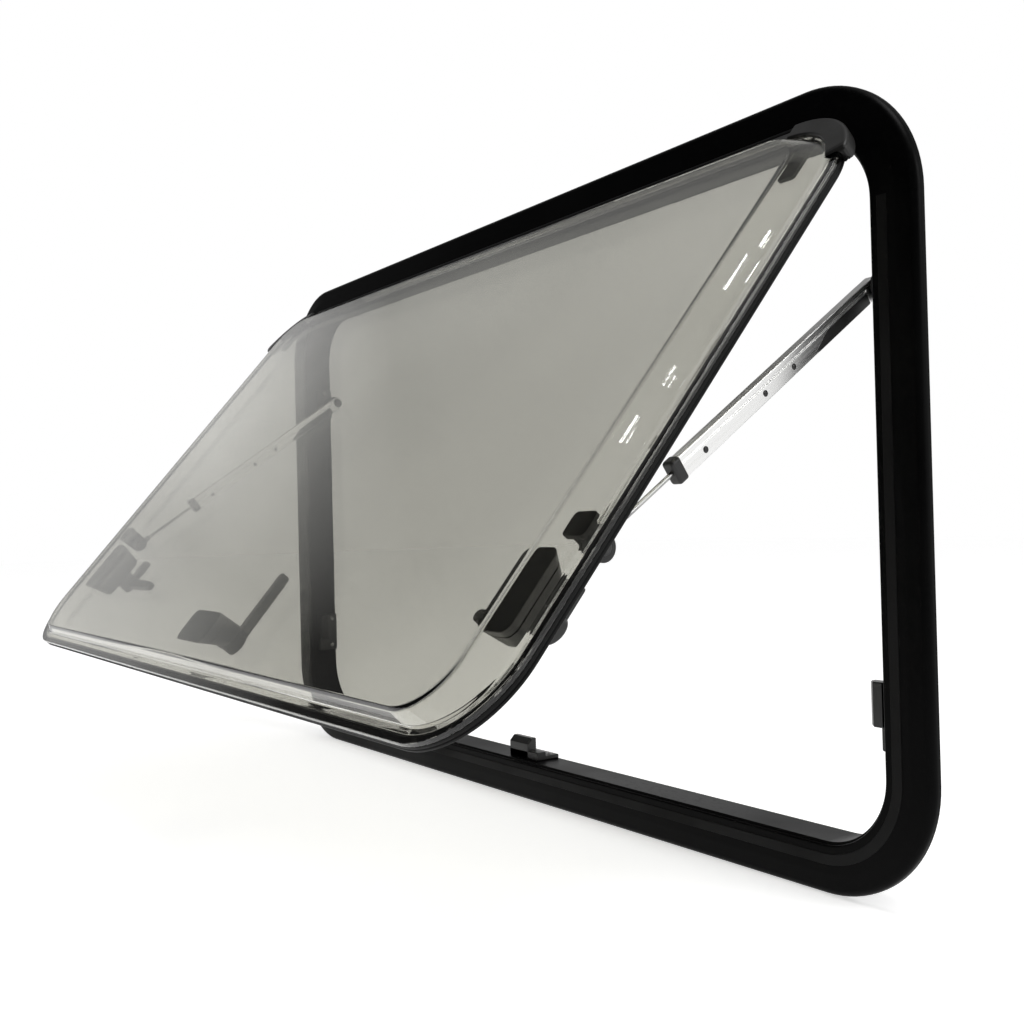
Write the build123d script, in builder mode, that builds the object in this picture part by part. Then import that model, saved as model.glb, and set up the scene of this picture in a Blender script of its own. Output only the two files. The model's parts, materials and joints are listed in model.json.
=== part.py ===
"""Top-hung caravan window: a flanged frame and a domed double pane, shown open on two stays.

The origin is the middle of the flange's back face, which lies on the caravan's outer skin.
+X is to the right seen from outside, +Y points into the caravan and +Z is up.
Heights on the sash are measured along its outward normal, from the back face of its seal.
Drops on the sash are measured down from the hinge axis.
"""
import math
import os

from build123d import *

# Frame, millimetres
FRAME_WIDTH = 740
FRAME_HEIGHT = 440
FRAME_CORNER = 70
FACE_WIDTH = 29
FLANGE_THICK = 8
FACE_ROUND = 6
INNER_ROUND = 2
SPIGOT_WALL = 6
SPIGOT_DEPTH = 20
GASKET_INSET = 6
GASKET_WIDTH = 6
GASKET_DEPTH = 3
GASKET_PROUD = 0.4

# Hinge
OPEN_ANGLE = 40.6
AXIS_DROP = 26
AXIS_LIFT = 1
SEAL_GAP = 1
BEAD_RADIUS = 3
HINGE_PLAY = 0.3
CHANNEL_WALL = 2.4
CHANNEL_END_GAP = 2
NECK_THICK = 2.4
NECK_PLAY = 0.6
RAIL_LIP = 2
RAIL_GRIP = 6
RAIL_ROUND = 1.8
CAP_WALL = 3
CAP_RIM = 6
CAP_LIP = 7
CAP_SWEEP = 76
CAP_ROUND = 2
BRACE_INSET = 36
BRACE_DROP = 10
BRACE_LENGTH = 30
BRACE_WIDTH = 11
BRACE_THICK = 3
BRACE_ROUND = 2

# Sash
SASH_MARGIN = 17
SASH_BOTTOM_MARGIN = 18
SASH_CORNER = 50
PANE_TOP = 7
PANE_THICK = 3
SEAL_THICK = 4
SEAL_WIDTH = 4
INNER_PANE_THICK = 2
INNER_PANE_GAP = 0.5
BEVEL_START = 8
BEVEL_SIDE = 30
BEVEL_TOP = 10.5
BEVEL_BOTTOM = 11.5
DOME_RISE = 7
DOME_CORNER = 30
SHOULDER_ROUND = 6

# Stays
STAY_INSET = 18
PIVOT_DEPTH = 18
PIVOT_DROP = 84
PIN_BEHIND = 12
STAY_WIDTH = 11
STAY_THICK = 6
GROOVE_WIDTH = 1.2
GROOVE_DEPTH = 1.2
GROOVE_OFFSET = 2
COLLAR_LENGTH = 6
COLLAR_WALL = 0.8
COLLAR_GAP = 2
ROD_RADIUS = 1.25
ROD_PLAY = 0.3
ROD_END_GAP = 10
SLEEVE_LENGTH = 4
SLEEVE_RADIUS = 2.4
SLEEVE_FIT = 0.05
EYE_RADIUS = 5.5
EYE_THICK = 4
BOSS_RADIUS = 4
PIN_RADIUS = 2.5
PIN_PLAY = 0.25
PIN_HEAD = 1.6
EAR_THICK = 3
EAR_GAP = 0.6
EAR_RADIUS = 7
BRACKET_PLATE = 3
BRACKET_LENGTH = 30
BRACKET_WIDTH = 16
FOOT_LENGTH = 14
FOOT_GAP = 6

# Latches
LATCH_INSET = 44.5
BASE_LENGTH = 46
BASE_WIDTH = 24
BASE_LEAN = 6
BASE_SHRINK = 8
BASE_CORNER = 6
BASE_HEIGHT = 18
BASE_EDGE = 1.5
HUB_RADIUS = 8
LEVER_GAP = 0.3
LEVER_LENGTH = 56
LEVER_WIDTH = 9
LEVER_TIP = 7
LEVER_THICK = 6
LEVER_ROUND = 1.5
TONGUE_LENGTH = 24
TONGUE_WIDTH = 10
TONGUE_THICK = 5
TONGUE_GAP = 5
TONGUE_RAMP = 2
LEVER_PIN_RADIUS = 4
LEVER_PIN_LENGTH = 10
STRIKE_LENGTH = 36
STRIKE_REACH = 15
STRIKE_DEPTH = 8
STRIKE_RAMP = 4
STRIKE_SETBACK = 12
STRIKE_SHIFT = 10
STRIKE_PLATE = 3
TAB_LENGTH = 12
TAB_REACH = 6
STRIKE_CORNER_GAP = 12

# Frame places
OPEN_WIDTH = FRAME_WIDTH - 2 * FACE_WIDTH
OPEN_HEIGHT = FRAME_HEIGHT - 2 * FACE_WIDTH
OPEN_CORNER = FRAME_CORNER - FACE_WIDTH
SEAL_PLANE_Y = -FLANGE_THICK - SEAL_GAP
AXIS_Y = SEAL_PLANE_Y - AXIS_LIFT
AXIS_Z = FRAME_HEIGHT / 2 - AXIS_DROP
CHANNEL_BORE = BEAD_RADIUS + HINGE_PLAY
CHANNEL_OUTER = CHANNEL_BORE + CHANNEL_WALL

# Sash places
SASH_WIDTH = FRAME_WIDTH - 2 * SASH_MARGIN
SASH_DROP = AXIS_Z + FRAME_HEIGHT / 2 - SASH_BOTTOM_MARGIN
SASH_HEIGHT = SASH_DROP - PANE_TOP
SASH_MIDDLE = -(SASH_DROP + PANE_TOP) / 2
FLANGE_FRONT = SEAL_THICK + PANE_THICK
DOME_FRONT = FLANGE_FRONT + DOME_RISE
INNER_BACK = SEAL_THICK - INNER_PANE_THICK
RAIL_HALF = SASH_WIDTH / 2 - SASH_CORNER
RAIL_TOP = CHANNEL_OUTER + NECK_PLAY
CHANNEL_HALF = RAIL_HALF - CHANNEL_END_GAP
LEVER_FRONT = INNER_BACK - BASE_HEIGHT - LEVER_GAP
STRIKE_Y = SPIGOT_DEPTH - STRIKE_SETBACK - STRIKE_DEPTH
TONGUE_FRONT = SEAL_PLANE_Y - STRIKE_Y - STRIKE_DEPTH - TONGUE_GAP
LATCH_X = SASH_WIDTH / 2 - LATCH_INSET
LATCH_BOTTOM = SASH_DROP - LATCH_INSET
STRIKE_Z = OPEN_CORNER + STRIKE_CORNER_GAP + (STRIKE_LENGTH - OPEN_HEIGHT) / 2
LATCH_DROP = AXIS_Z - STRIKE_Z
PIN_DROP = LATCH_DROP - (BASE_LENGTH + FOOT_LENGTH) / 2 - FOOT_GAP

# Directions of the open sash
SWING = math.radians(OPEN_ANGLE)
RIGHT = Vector(1, 0, 0)
OUTWARD = Vector(0, -math.cos(SWING), math.sin(SWING))
DOWN = Vector(0, -math.sin(SWING), -math.cos(SWING))
AXIS_POINT = Vector(0, AXIS_Y, AXIS_Z)
SASH = Plane(origin=AXIS_POINT, x_dir=RIGHT, z_dir=OUTWARD)
SASH_NORMAL = Axis(AXIS_POINT, OUTWARD)

# Stay places, in the plane of one stay
PIVOT = Vector(0, PIVOT_DEPTH, AXIS_Z - PIVOT_DROP)
PIN_OPEN = AXIS_POINT + DOWN * PIN_DROP - OUTWARD * (PIN_BEHIND + AXIS_LIFT)
PIN_CLOSED = Vector(0, SEAL_PLANE_Y + PIN_BEHIND, AXIS_Z - PIN_DROP)
STAY_OPEN = (PIN_OPEN - PIVOT).length
STAY_CLOSED = (PIN_CLOSED - PIVOT).length
STAY_ALONG = (PIN_OPEN - PIVOT).normalized()
STAY_X = OPEN_WIDTH / 2 - STAY_INSET
STAY_LENGTH = STAY_CLOSED - EYE_RADIUS - SLEEVE_LENGTH - COLLAR_GAP - COLLAR_LENGTH
BORE_START = STAY_WIDTH / 2 + PIN_RADIUS
ROD_OVERLAP = STAY_LENGTH - BORE_START - ROD_END_GAP - (STAY_OPEN - STAY_CLOSED)
COLLAR_HALF = STAY_THICK / 2 + COLLAR_WALL
EAR_NEAR = COLLAR_HALF + EAR_GAP

SIDES = (("left", -1), ("right", 1))
# Each latch: name, place on the sash, direction of its sash edge, side its tongue rests on
LATCHES = (
    ("left", (-LATCH_X, -LATCH_DROP), (-1, 0), -1),
    ("right", (LATCH_X, -LATCH_DROP), (1, 0), 1),
    ("bottom", (0, -LATCH_BOTTOM), (0, -1), -1),
)

os.makedirs("parts", exist_ok=True)


def save(piece, name):
    """Label one finished piece and write it to a file of its own."""
    piece.part.label = name
    export_step(piece.part, f"parts/{name}.step")


def sash_plane(height):
    """Plane parallel to the open sash at a height above the seal's back face."""
    return SASH.offset(height - AXIS_LIFT)


def latch_plane(spot, edge, height):
    """Plane at one latch, with its X axis pointing at the sash edge that the latch serves."""
    base = sash_plane(height)
    toward_edge = base.x_dir * edge[0] + base.y_dir * edge[1]
    return Plane(origin=base.from_local_coords((*spot, 0)), x_dir=toward_edge, z_dir=OUTWARD)


def stay_plane(sign, along=0):
    """Plane of one stay, with X along it from the frame pivot and Z across the window."""
    origin = PIVOT + STAY_ALONG * along + RIGHT * (sign * STAY_X)
    return Plane(origin=origin, x_dir=STAY_ALONG, z_dir=RIGHT * sign)


def stay_section(sign, along):
    """Plane square to one stay, facing along it."""
    origin = PIVOT + STAY_ALONG * along + RIGHT * (sign * STAY_X)
    return Plane(origin=origin, x_dir=RIGHT, z_dir=STAY_ALONG)


def sash_outline(inset):
    """Draw the sash's rounded outline, smaller by an inset."""
    with Locations((0, SASH_MIDDLE)):
        RectangleRounded(SASH_WIDTH - 2 * inset, SASH_HEIGHT - 2 * inset, SASH_CORNER - inset)


def dome_outline(grow):
    """Draw the edge of the dome's flat field, larger by a margin."""
    width = SASH_WIDTH - 2 * BEVEL_SIDE + 2 * grow
    height = SASH_HEIGHT - BEVEL_TOP - BEVEL_BOTTOM + 2 * grow
    with Locations((0, SASH_MIDDLE + (BEVEL_BOTTOM - BEVEL_TOP) / 2)):
        RectangleRounded(width, height, DOME_CORNER + grow)


def frame_outline(grow, mode=Mode.ADD):
    """Draw the frame's rounded opening, larger by a margin."""
    RectangleRounded(OPEN_WIDTH + 2 * grow, OPEN_HEIGHT + 2 * grow, OPEN_CORNER + grow, mode=mode)


def gasket_outline():
    """Draw the gasket's track: down both sides of the opening and along its bottom."""
    frame_outline(GASKET_INSET + GASKET_WIDTH)
    frame_outline(GASKET_INSET, mode=Mode.SUBTRACT)
    with Locations((0, OPEN_HEIGHT / 2 - OPEN_CORNER)):
        Rectangle(FRAME_WIDTH, FRAME_HEIGHT, align=(Align.CENTER, Align.MIN), mode=Mode.SUBTRACT)


# Outer frame: a bullnosed flange outside the wall and a spigot through the cut-out
with BuildPart() as outer_frame:
    with BuildSketch(Plane.XZ):
        RectangleRounded(FRAME_WIDTH, FRAME_HEIGHT, FRAME_CORNER)
        frame_outline(0, mode=Mode.SUBTRACT)
    extrude(amount=FLANGE_THICK)
    front_face = outer_frame.faces().sort_by(Axis.Y)[0]
    fillet(front_face.outer_wire().edges(), FACE_ROUND)
    front_face = outer_frame.faces().sort_by(Axis.Y)[0]
    fillet(front_face.inner_wires()[0].edges(), INNER_ROUND)
    with BuildSketch(Plane.XZ):
        frame_outline(SPIGOT_WALL)
        frame_outline(0, mode=Mode.SUBTRACT)
    extrude(amount=-SPIGOT_DEPTH)
    with BuildSketch(Plane.XZ.offset(FLANGE_THICK)):
        gasket_outline()
    extrude(amount=-GASKET_DEPTH, mode=Mode.SUBTRACT)
    with BuildSketch(Plane.YZ):
        with Locations((AXIS_Y + CHANNEL_OUTER, AXIS_Z + CHANNEL_OUTER)):
            Rectangle(FLANGE_THICK, 2 * CHANNEL_OUTER + FACE_WIDTH, align=(Align.MAX, Align.MAX))
    extrude(amount=RAIL_HALF + CHANNEL_END_GAP, both=True, mode=Mode.SUBTRACT)
save(outer_frame, "outer_frame")

# Frame gasket: a rubber strip in the flange's groove, a little proud of it
with BuildPart() as frame_gasket:
    with BuildSketch(Plane.XZ.offset(FLANGE_THICK - GASKET_DEPTH)):
        gasket_outline()
    extrude(amount=GASKET_DEPTH + GASKET_PROUD)
save(frame_gasket, "frame_gasket")

# Hinge channel: a C-shaped socket along the top, open below and in front for the rail's neck
with BuildPart() as hinge_channel:
    half_mouth = math.asin((NECK_THICK / 2 + NECK_PLAY) / CHANNEL_BORE)
    mouth_turns = (-half_mouth, SWING / 2, SWING + half_mouth)
    mouth_reach = 3 * CHANNEL_OUTER
    mouth = [(-mouth_reach * math.sin(turn), -mouth_reach * math.cos(turn)) for turn in mouth_turns]
    with BuildSketch(Plane.YZ):
        with Locations((AXIS_Y, AXIS_Z)):
            Circle(CHANNEL_OUTER)
            Rectangle(CHANNEL_OUTER, CHANNEL_OUTER, align=(Align.MIN, Align.MIN))
            Circle(CHANNEL_BORE, mode=Mode.SUBTRACT)
            Polygon((0, 0), *mouth, align=None, mode=Mode.SUBTRACT)
    extrude(amount=CHANNEL_HALF, both=True)
save(hinge_channel, "hinge_channel")

# Hinge rail: a bead on the axis, a neck, and jaws that grip the top edge of the panes
with BuildPart() as hinge_rail:
    jaw_front = FLANGE_FRONT + RAIL_LIP - AXIS_LIFT
    with BuildSketch(Plane(origin=AXIS_POINT, x_dir=OUTWARD, z_dir=RIGHT)):
        Circle(BEAD_RADIUS)
        Rectangle(NECK_THICK, RAIL_TOP + RAIL_LIP, align=(Align.CENTER, Align.MIN))
        with Locations((0, RAIL_TOP)):
            Rectangle(jaw_front, PANE_TOP + RAIL_GRIP - RAIL_TOP, align=(Align.MIN, Align.MIN))
        with Locations((SEAL_THICK - AXIS_LIFT, PANE_TOP)):
            Rectangle(PANE_THICK, RAIL_GRIP, align=(Align.MIN, Align.MIN), mode=Mode.SUBTRACT)
        with Locations((0, PANE_TOP + SEAL_WIDTH)):
            Rectangle(SEAL_THICK, RAIL_GRIP, align=(Align.MIN, Align.MIN), mode=Mode.SUBTRACT)
    extrude(amount=RAIL_HALF, both=True)
    front_corners = hinge_rail.edges().filter_by(Axis.X).group_by(SASH_NORMAL)[-1]
    fillet(front_corners, RAIL_ROUND)
save(hinge_rail, "hinge_rail")

# Hinge end caps: curved mouldings that carry the hinge line round the sash's top corners
for side, sign in SIDES:
    corner = (sign * RAIL_HALF, -(PANE_TOP + SASH_CORNER))
    cap_turns = [math.radians(90 - CAP_SWEEP * step / 2) for step in range(3)]
    fan = [(sign * 3 * SASH_CORNER * math.cos(turn), 3 * SASH_CORNER * math.sin(turn)) for turn in cap_turns]
    with BuildPart() as hinge_cap:
        with BuildSketch(sash_plane(AXIS_LIFT)):
            with Locations(corner):
                Circle(SASH_CORNER + CAP_RIM)
                Circle(SASH_CORNER, mode=Mode.SUBTRACT)
                Polygon((0, 0), *fan, align=None, mode=Mode.INTERSECT)
        extrude(amount=FLANGE_FRONT - AXIS_LIFT)
        with BuildSketch(sash_plane(FLANGE_FRONT)):
            with Locations(corner):
                Circle(SASH_CORNER + CAP_RIM)
                Circle(SASH_CORNER - CAP_LIP, mode=Mode.SUBTRACT)
                Polygon((0, 0), *fan, align=None, mode=Mode.INTERSECT)
        extrude(amount=CAP_WALL)
        top_face = hinge_cap.faces().sort_by(SASH_NORMAL)[-1]
        fillet(top_face.edges().filter_by(GeomType.CIRCLE), CAP_ROUND)
    save(hinge_cap, f"hinge_cap_{side}")

# Outer pane: a flat rim and a shallow dome, formed from one sheet
with BuildPart() as outer_pane:
    with BuildSketch(sash_plane(SEAL_THICK)):
        sash_outline(0)
    extrude(amount=PANE_THICK)
    with BuildSketch(sash_plane(FLANGE_FRONT)):
        sash_outline(BEVEL_START)
    with BuildSketch(sash_plane(DOME_FRONT)):
        dome_outline(0)
    loft(ruled=True)
    flat_field = outer_pane.faces().sort_by(SASH_NORMAL)[-1]
    fillet(flat_field.edges(), SHOULDER_ROUND)
    with BuildSketch(sash_plane(SEAL_THICK)):
        sash_outline(BEVEL_START + PANE_THICK)
    with BuildSketch(sash_plane(DOME_FRONT - PANE_THICK)):
        dome_outline(-PANE_THICK / 2)
    loft(ruled=True, mode=Mode.SUBTRACT)
save(outer_pane, "outer_pane")

# Inner pane: a flat sheet bonded behind the outer pane's rim
with BuildPart() as inner_pane:
    with BuildSketch(sash_plane(INNER_BACK)):
        sash_outline(SEAL_WIDTH + INNER_PANE_GAP)
    extrude(amount=INNER_PANE_THICK)
save(inner_pane, "inner_pane")

# Edge seal: a slim rubber ring behind the pane's rim, open at the hinge
with BuildPart() as edge_seal:
    with BuildSketch(sash_plane(0)):
        sash_outline(0)
    extrude(amount=SEAL_THICK)
    with BuildSketch(sash_plane(0)):
        sash_outline(SEAL_WIDTH)
    extrude(amount=SEAL_THICK, mode=Mode.SUBTRACT)
    with BuildSketch(sash_plane(0)):
        with Locations((0, -PANE_TOP - RAIL_GRIP)):
            Rectangle(2 * RAIL_HALF, 2 * RAIL_GRIP, align=(Align.CENTER, Align.MIN))
    extrude(amount=SEAL_THICK, mode=Mode.SUBTRACT)
save(edge_seal, "edge_seal")

for side, sign in SIDES:
    # Corner brace: a black bar behind the panes at the top corner
    with BuildPart() as corner_brace:
        with BuildSketch(sash_plane(INNER_BACK)):
            with Locations((sign * (SASH_WIDTH / 2 - BRACE_INSET), -PANE_TOP - BRACE_DROP)):
                with Locations((0, -BRACE_LENGTH / 2)):
                    RectangleRounded(BRACE_WIDTH, BRACE_LENGTH, BRACE_ROUND)
        extrude(amount=-BRACE_THICK)
    save(corner_brace, f"corner_brace_{side}")

    # Stay bracket on the frame: a plate, a boss and the headed pin that the stay turns on
    wall_x = sign * OPEN_WIDTH / 2
    outward_side = RIGHT * sign
    with BuildPart() as stay_bracket:
        plate_origin = Vector(wall_x, SPIGOT_DEPTH - BRACKET_WIDTH / 2, PIVOT.Z)
        with BuildSketch(Plane(origin=plate_origin, x_dir=(0, 1, 0), z_dir=outward_side * -1)):
            Rectangle(BRACKET_WIDTH, BRACKET_LENGTH)
        extrude(amount=BRACKET_PLATE)
        pin_plane = Plane(origin=PIVOT + RIGHT * wall_x, x_dir=(0, 1, 0), z_dir=outward_side * -1)
        stay_far = STAY_INSET + STAY_THICK / 2 + EAR_GAP
        with BuildSketch(pin_plane.offset(BRACKET_PLATE)):
            Circle(EAR_RADIUS)
        extrude(amount=STAY_INSET - STAY_THICK / 2 - EAR_GAP - BRACKET_PLATE)
        with BuildSketch(pin_plane.offset(BRACKET_PLATE)):
            Circle(PIN_RADIUS)
        extrude(amount=stay_far - BRACKET_PLATE)
        with BuildSketch(pin_plane.offset(stay_far)):
            Circle(PIN_RADIUS + PIN_HEAD)
        extrude(amount=PIN_HEAD)
    save(stay_bracket, f"stay_bracket_{side}")

    # Stay channel: a grooved bar with an eye at the frame and a bore for the rod
    with BuildPart() as stay_channel:
        with BuildSketch(stay_plane(sign)):
            Circle(STAY_WIDTH / 2)
            Rectangle(STAY_LENGTH, STAY_WIDTH, align=(Align.MIN, Align.CENTER))
            Circle(PIN_RADIUS + PIN_PLAY, mode=Mode.SUBTRACT)
        extrude(amount=STAY_THICK / 2, both=True)
        with BuildSketch(stay_section(sign, STAY_LENGTH)):
            Circle(ROD_RADIUS + ROD_PLAY)
        extrude(amount=BORE_START - STAY_LENGTH, mode=Mode.SUBTRACT)
        with BuildSketch(stay_section(sign, STAY_LENGTH)):
            with Locations((STAY_THICK / 2, GROOVE_OFFSET), (-STAY_THICK / 2, GROOVE_OFFSET)):
                Rectangle(2 * GROOVE_DEPTH, GROOVE_WIDTH)
        extrude(amount=BORE_START - STAY_LENGTH, mode=Mode.SUBTRACT)
    save(stay_channel, f"stay_channel_{side}")

    # Collar: the moulded end of the channel that guides and grips the rod
    with BuildPart() as stay_collar:
        with BuildSketch(stay_section(sign, STAY_LENGTH)):
            RectangleRounded(2 * COLLAR_HALF, STAY_WIDTH + 2 * COLLAR_WALL, COLLAR_WALL)
            Circle(ROD_RADIUS + ROD_PLAY, mode=Mode.SUBTRACT)
        extrude(amount=COLLAR_LENGTH)
    save(stay_collar, f"stay_collar_{side}")

    # Rod: slides in the channel
    rod_end_at = STAY_OPEN - EYE_RADIUS
    with BuildPart() as stay_rod:
        with BuildSketch(stay_section(sign, STAY_LENGTH - ROD_OVERLAP)):
            Circle(ROD_RADIUS)
        extrude(amount=rod_end_at - STAY_LENGTH + ROD_OVERLAP)
    save(stay_rod, f"stay_rod_{side}")

    # Rod eye: a sleeve on the rod's end, a flat eye and the boss that faces the sash's bracket
    with BuildPart() as rod_eye:
        with BuildSketch(stay_section(sign, rod_end_at - SLEEVE_LENGTH)):
            Circle(SLEEVE_RADIUS)
        extrude(amount=SLEEVE_LENGTH + EYE_RADIUS / 2)
        with BuildSketch(stay_plane(sign, STAY_OPEN)):
            Circle(EYE_RADIUS)
        extrude(amount=EYE_THICK / 2, both=True)
        with BuildSketch(stay_plane(sign, STAY_OPEN)):
            Circle(BOSS_RADIUS)
        extrude(amount=COLLAR_HALF)
        with BuildSketch(stay_section(sign, rod_end_at - SLEEVE_LENGTH)):
            Circle(ROD_RADIUS + SLEEVE_FIT)
        extrude(amount=SLEEVE_LENGTH, mode=Mode.SUBTRACT)
    save(rod_eye, f"rod_eye_{side}")

    # Sash bracket: a foot on the inner pane and an ear beside the rod's eye
    with BuildPart() as sash_bracket:
        ear_middle = EAR_NEAR + EAR_THICK / 2
        with BuildSketch(sash_plane(INNER_BACK)):
            with Locations((sign * (STAY_X + ear_middle), -PIN_DROP)):
                RectangleRounded(BRACKET_WIDTH, FOOT_LENGTH, BRACKET_PLATE)
        extrude(amount=-BRACKET_PLATE)
        ear_origin = PIN_OPEN + RIGHT * (sign * (STAY_X + EAR_NEAR))
        with BuildSketch(Plane(origin=ear_origin, x_dir=OUTWARD, z_dir=outward_side)):
            Circle(EAR_RADIUS)
            Rectangle(PIN_BEHIND + INNER_BACK, 2 * EAR_RADIUS, align=(Align.MIN, Align.CENTER))
        extrude(amount=EAR_THICK)
        with BuildSketch(Plane(origin=ear_origin, x_dir=OUTWARD, z_dir=outward_side).offset(EAR_THICK)):
            Circle(PIN_RADIUS + PIN_HEAD)
        extrude(amount=PIN_HEAD)
    save(sash_bracket, f"sash_bracket_{side}")

for name, spot, edge, hand in LATCHES:
    # Latch base: a housing on the inner pane that narrows and leans away from the sash edge
    with BuildPart() as latch_base:
        with BuildSketch(latch_plane(spot, edge, INNER_BACK)):
            with Locations((BASE_LEAN, 0)):
                RectangleRounded(BASE_WIDTH, BASE_LENGTH, BASE_CORNER)
        with BuildSketch(latch_plane(spot, edge, INNER_BACK - BASE_HEIGHT)):
            RectangleRounded(BASE_WIDTH - BASE_SHRINK, BASE_LENGTH - BASE_SHRINK, BASE_CORNER)
        loft(ruled=True)
        fillet(latch_base.faces().sort_by(SASH_NORMAL)[0].edges(), BASE_EDGE)
        with BuildSketch(latch_plane(spot, edge, INNER_BACK - BASE_HEIGHT)):
            Circle(LEVER_PIN_RADIUS + LEVER_GAP)
        extrude(amount=LEVER_PIN_LENGTH, mode=Mode.SUBTRACT)
    save(latch_base, f"latch_base_{name}")

    # Latch lever: a hub on its pin, with a tapered handle to the middle and a tongue beside it
    with BuildPart() as latch_lever:
        with BuildSketch(latch_plane(spot, edge, LEVER_FRONT)):
            Circle(HUB_RADIUS)
        extrude(amount=TONGUE_FRONT - LEVER_THICK - LEVER_FRONT)
        fillet(latch_lever.faces().sort_by(SASH_NORMAL)[0].edges(), LEVER_ROUND)
        with BuildSketch(latch_plane(spot, edge, TONGUE_FRONT)):
            tip = LEVER_LENGTH - LEVER_TIP / 2
            root, end = LEVER_WIDTH / 2, LEVER_TIP / 2
            Polygon((0, -root), (0, root), (-tip, end), (-tip, -end), align=None)
            with Locations((-tip, 0)):
                Circle(LEVER_TIP / 2)
        extrude(amount=-LEVER_THICK)
        seat = latch_plane(spot, edge, TONGUE_FRONT)
        with BuildSketch(Plane(origin=seat.origin, x_dir=seat.y_dir * hand, z_dir=seat.x_dir * -hand)):
            Polygon((0, 0), (TONGUE_LENGTH - TONGUE_RAMP, 0), (TONGUE_LENGTH, TONGUE_RAMP),
                    (TONGUE_LENGTH, TONGUE_THICK), (0, TONGUE_THICK), align=None)
        extrude(amount=TONGUE_WIDTH / 2, both=True)
        with BuildSketch(latch_plane(spot, edge, LEVER_FRONT)):
            Circle(LEVER_PIN_RADIUS)
        extrude(amount=LEVER_PIN_LENGTH - LEVER_GAP)
    save(latch_lever, f"latch_lever_{name}")

# Strikes: a ramped block and a lower tab on a thin plate, on the spigot's inner face
# Each strike: name, seat, direction into the opening, end that carries the tab
STRIKES = (
    ("left", Vector(-OPEN_WIDTH / 2, STRIKE_Y, STRIKE_Z), RIGHT, -1),
    ("right", Vector(OPEN_WIDTH / 2, STRIKE_Y, STRIKE_Z), RIGHT * -1, 1),
    ("bottom", Vector(STRIKE_SHIFT, STRIKE_Y, -OPEN_HEIGHT / 2), Vector(0, 0, 1), -1),
)
for name, seat, inward, tab in STRIKES:
    across = inward.cross(Vector(0, 1, 0)) * tab
    with BuildPart() as strike:
        start = Plane(origin=seat - across * (STRIKE_LENGTH / 2), x_dir=inward, z_dir=across * tab)
        with BuildSketch(start):
            Polygon((0, 0), (STRIKE_REACH - STRIKE_RAMP, 0), (STRIKE_REACH, STRIKE_RAMP),
                    (STRIKE_REACH, STRIKE_DEPTH), (0, STRIKE_DEPTH), align=None)
        extrude(amount=tab * (STRIKE_LENGTH - TAB_LENGTH))
        with BuildSketch(start):
            Rectangle(TAB_REACH, STRIKE_DEPTH, align=(Align.MIN, Align.MIN))
            Rectangle(STRIKE_PLATE, SPIGOT_DEPTH - STRIKE_Y, align=(Align.MIN, Align.MIN))
        extrude(amount=tab * STRIKE_LENGTH)
    save(strike, f"strike_{name}")
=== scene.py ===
# %% [markdown]
# # A top-hung caravan window
#
# The real window is a black flanged frame, a sash of two smoked acrylic panes that hangs from a hinge
# along the top, two telescopic stays that hold it open and three turning latches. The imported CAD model
# gives every place and every joint. This lesson loads it as a fixed frame and lays finer surfaces and
# finishes over it, piece by piece, without changing a single dimension.

import json
import math

import bmesh
import bpy
import numpy as np
from mathutils import Matrix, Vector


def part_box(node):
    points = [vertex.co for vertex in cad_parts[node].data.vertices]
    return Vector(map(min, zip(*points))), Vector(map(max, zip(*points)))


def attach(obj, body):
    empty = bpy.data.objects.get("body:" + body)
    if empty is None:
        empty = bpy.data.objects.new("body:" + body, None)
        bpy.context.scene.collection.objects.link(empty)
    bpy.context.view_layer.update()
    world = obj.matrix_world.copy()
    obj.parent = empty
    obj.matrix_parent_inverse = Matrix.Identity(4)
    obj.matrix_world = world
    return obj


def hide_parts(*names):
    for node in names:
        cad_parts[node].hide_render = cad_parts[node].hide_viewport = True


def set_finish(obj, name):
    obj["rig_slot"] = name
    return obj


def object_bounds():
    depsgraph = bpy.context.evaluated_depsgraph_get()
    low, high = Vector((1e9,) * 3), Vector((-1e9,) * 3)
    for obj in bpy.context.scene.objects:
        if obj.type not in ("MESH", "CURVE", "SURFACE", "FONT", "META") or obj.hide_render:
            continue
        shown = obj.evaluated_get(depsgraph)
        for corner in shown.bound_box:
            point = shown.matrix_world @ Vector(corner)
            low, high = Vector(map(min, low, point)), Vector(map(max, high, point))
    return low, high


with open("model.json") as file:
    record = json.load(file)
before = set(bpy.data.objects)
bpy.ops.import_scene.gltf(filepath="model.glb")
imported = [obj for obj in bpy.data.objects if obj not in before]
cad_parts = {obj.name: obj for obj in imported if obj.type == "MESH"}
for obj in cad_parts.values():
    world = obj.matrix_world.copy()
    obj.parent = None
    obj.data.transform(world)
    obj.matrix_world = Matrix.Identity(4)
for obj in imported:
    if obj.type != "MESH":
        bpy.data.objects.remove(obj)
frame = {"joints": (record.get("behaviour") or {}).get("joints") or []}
cad_low, cad_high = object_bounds()
joints = {joint["name"]: joint for joint in frame["joints"]}
MM = 0.001
print("CAD box, mm:", [round((b - a) / MM, 1) for a, b in zip(cad_low, cad_high)])

# %% [markdown]
# ## The camera
#
# The picture was taken from the right of the window, a little below its middle, looking along the open
# sash. A camera is just a place and three directions, so we build its matrix from a heading, a pitch and
# a roll instead of guessing Euler angles. Its columns are right, up and backwards.

# %% Place the camera
CAMERA_PLACE = np.array([714.45, -498.9, -15.32])
HEADING, PITCH, ROLL = np.radians([54.983, 0.707, -1.375])
FOCAL_PIXELS, PICTURE_PIXELS, SENSOR = 1136.25, 1024.0, 36.0


def world_matrix(right, up, backward, place):
    """Matrix whose columns are three directions and a place in metres."""
    matrix = np.eye(4)
    matrix[:3] = np.column_stack([right, up, backward, place])
    return Matrix(matrix.tolist())


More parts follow.
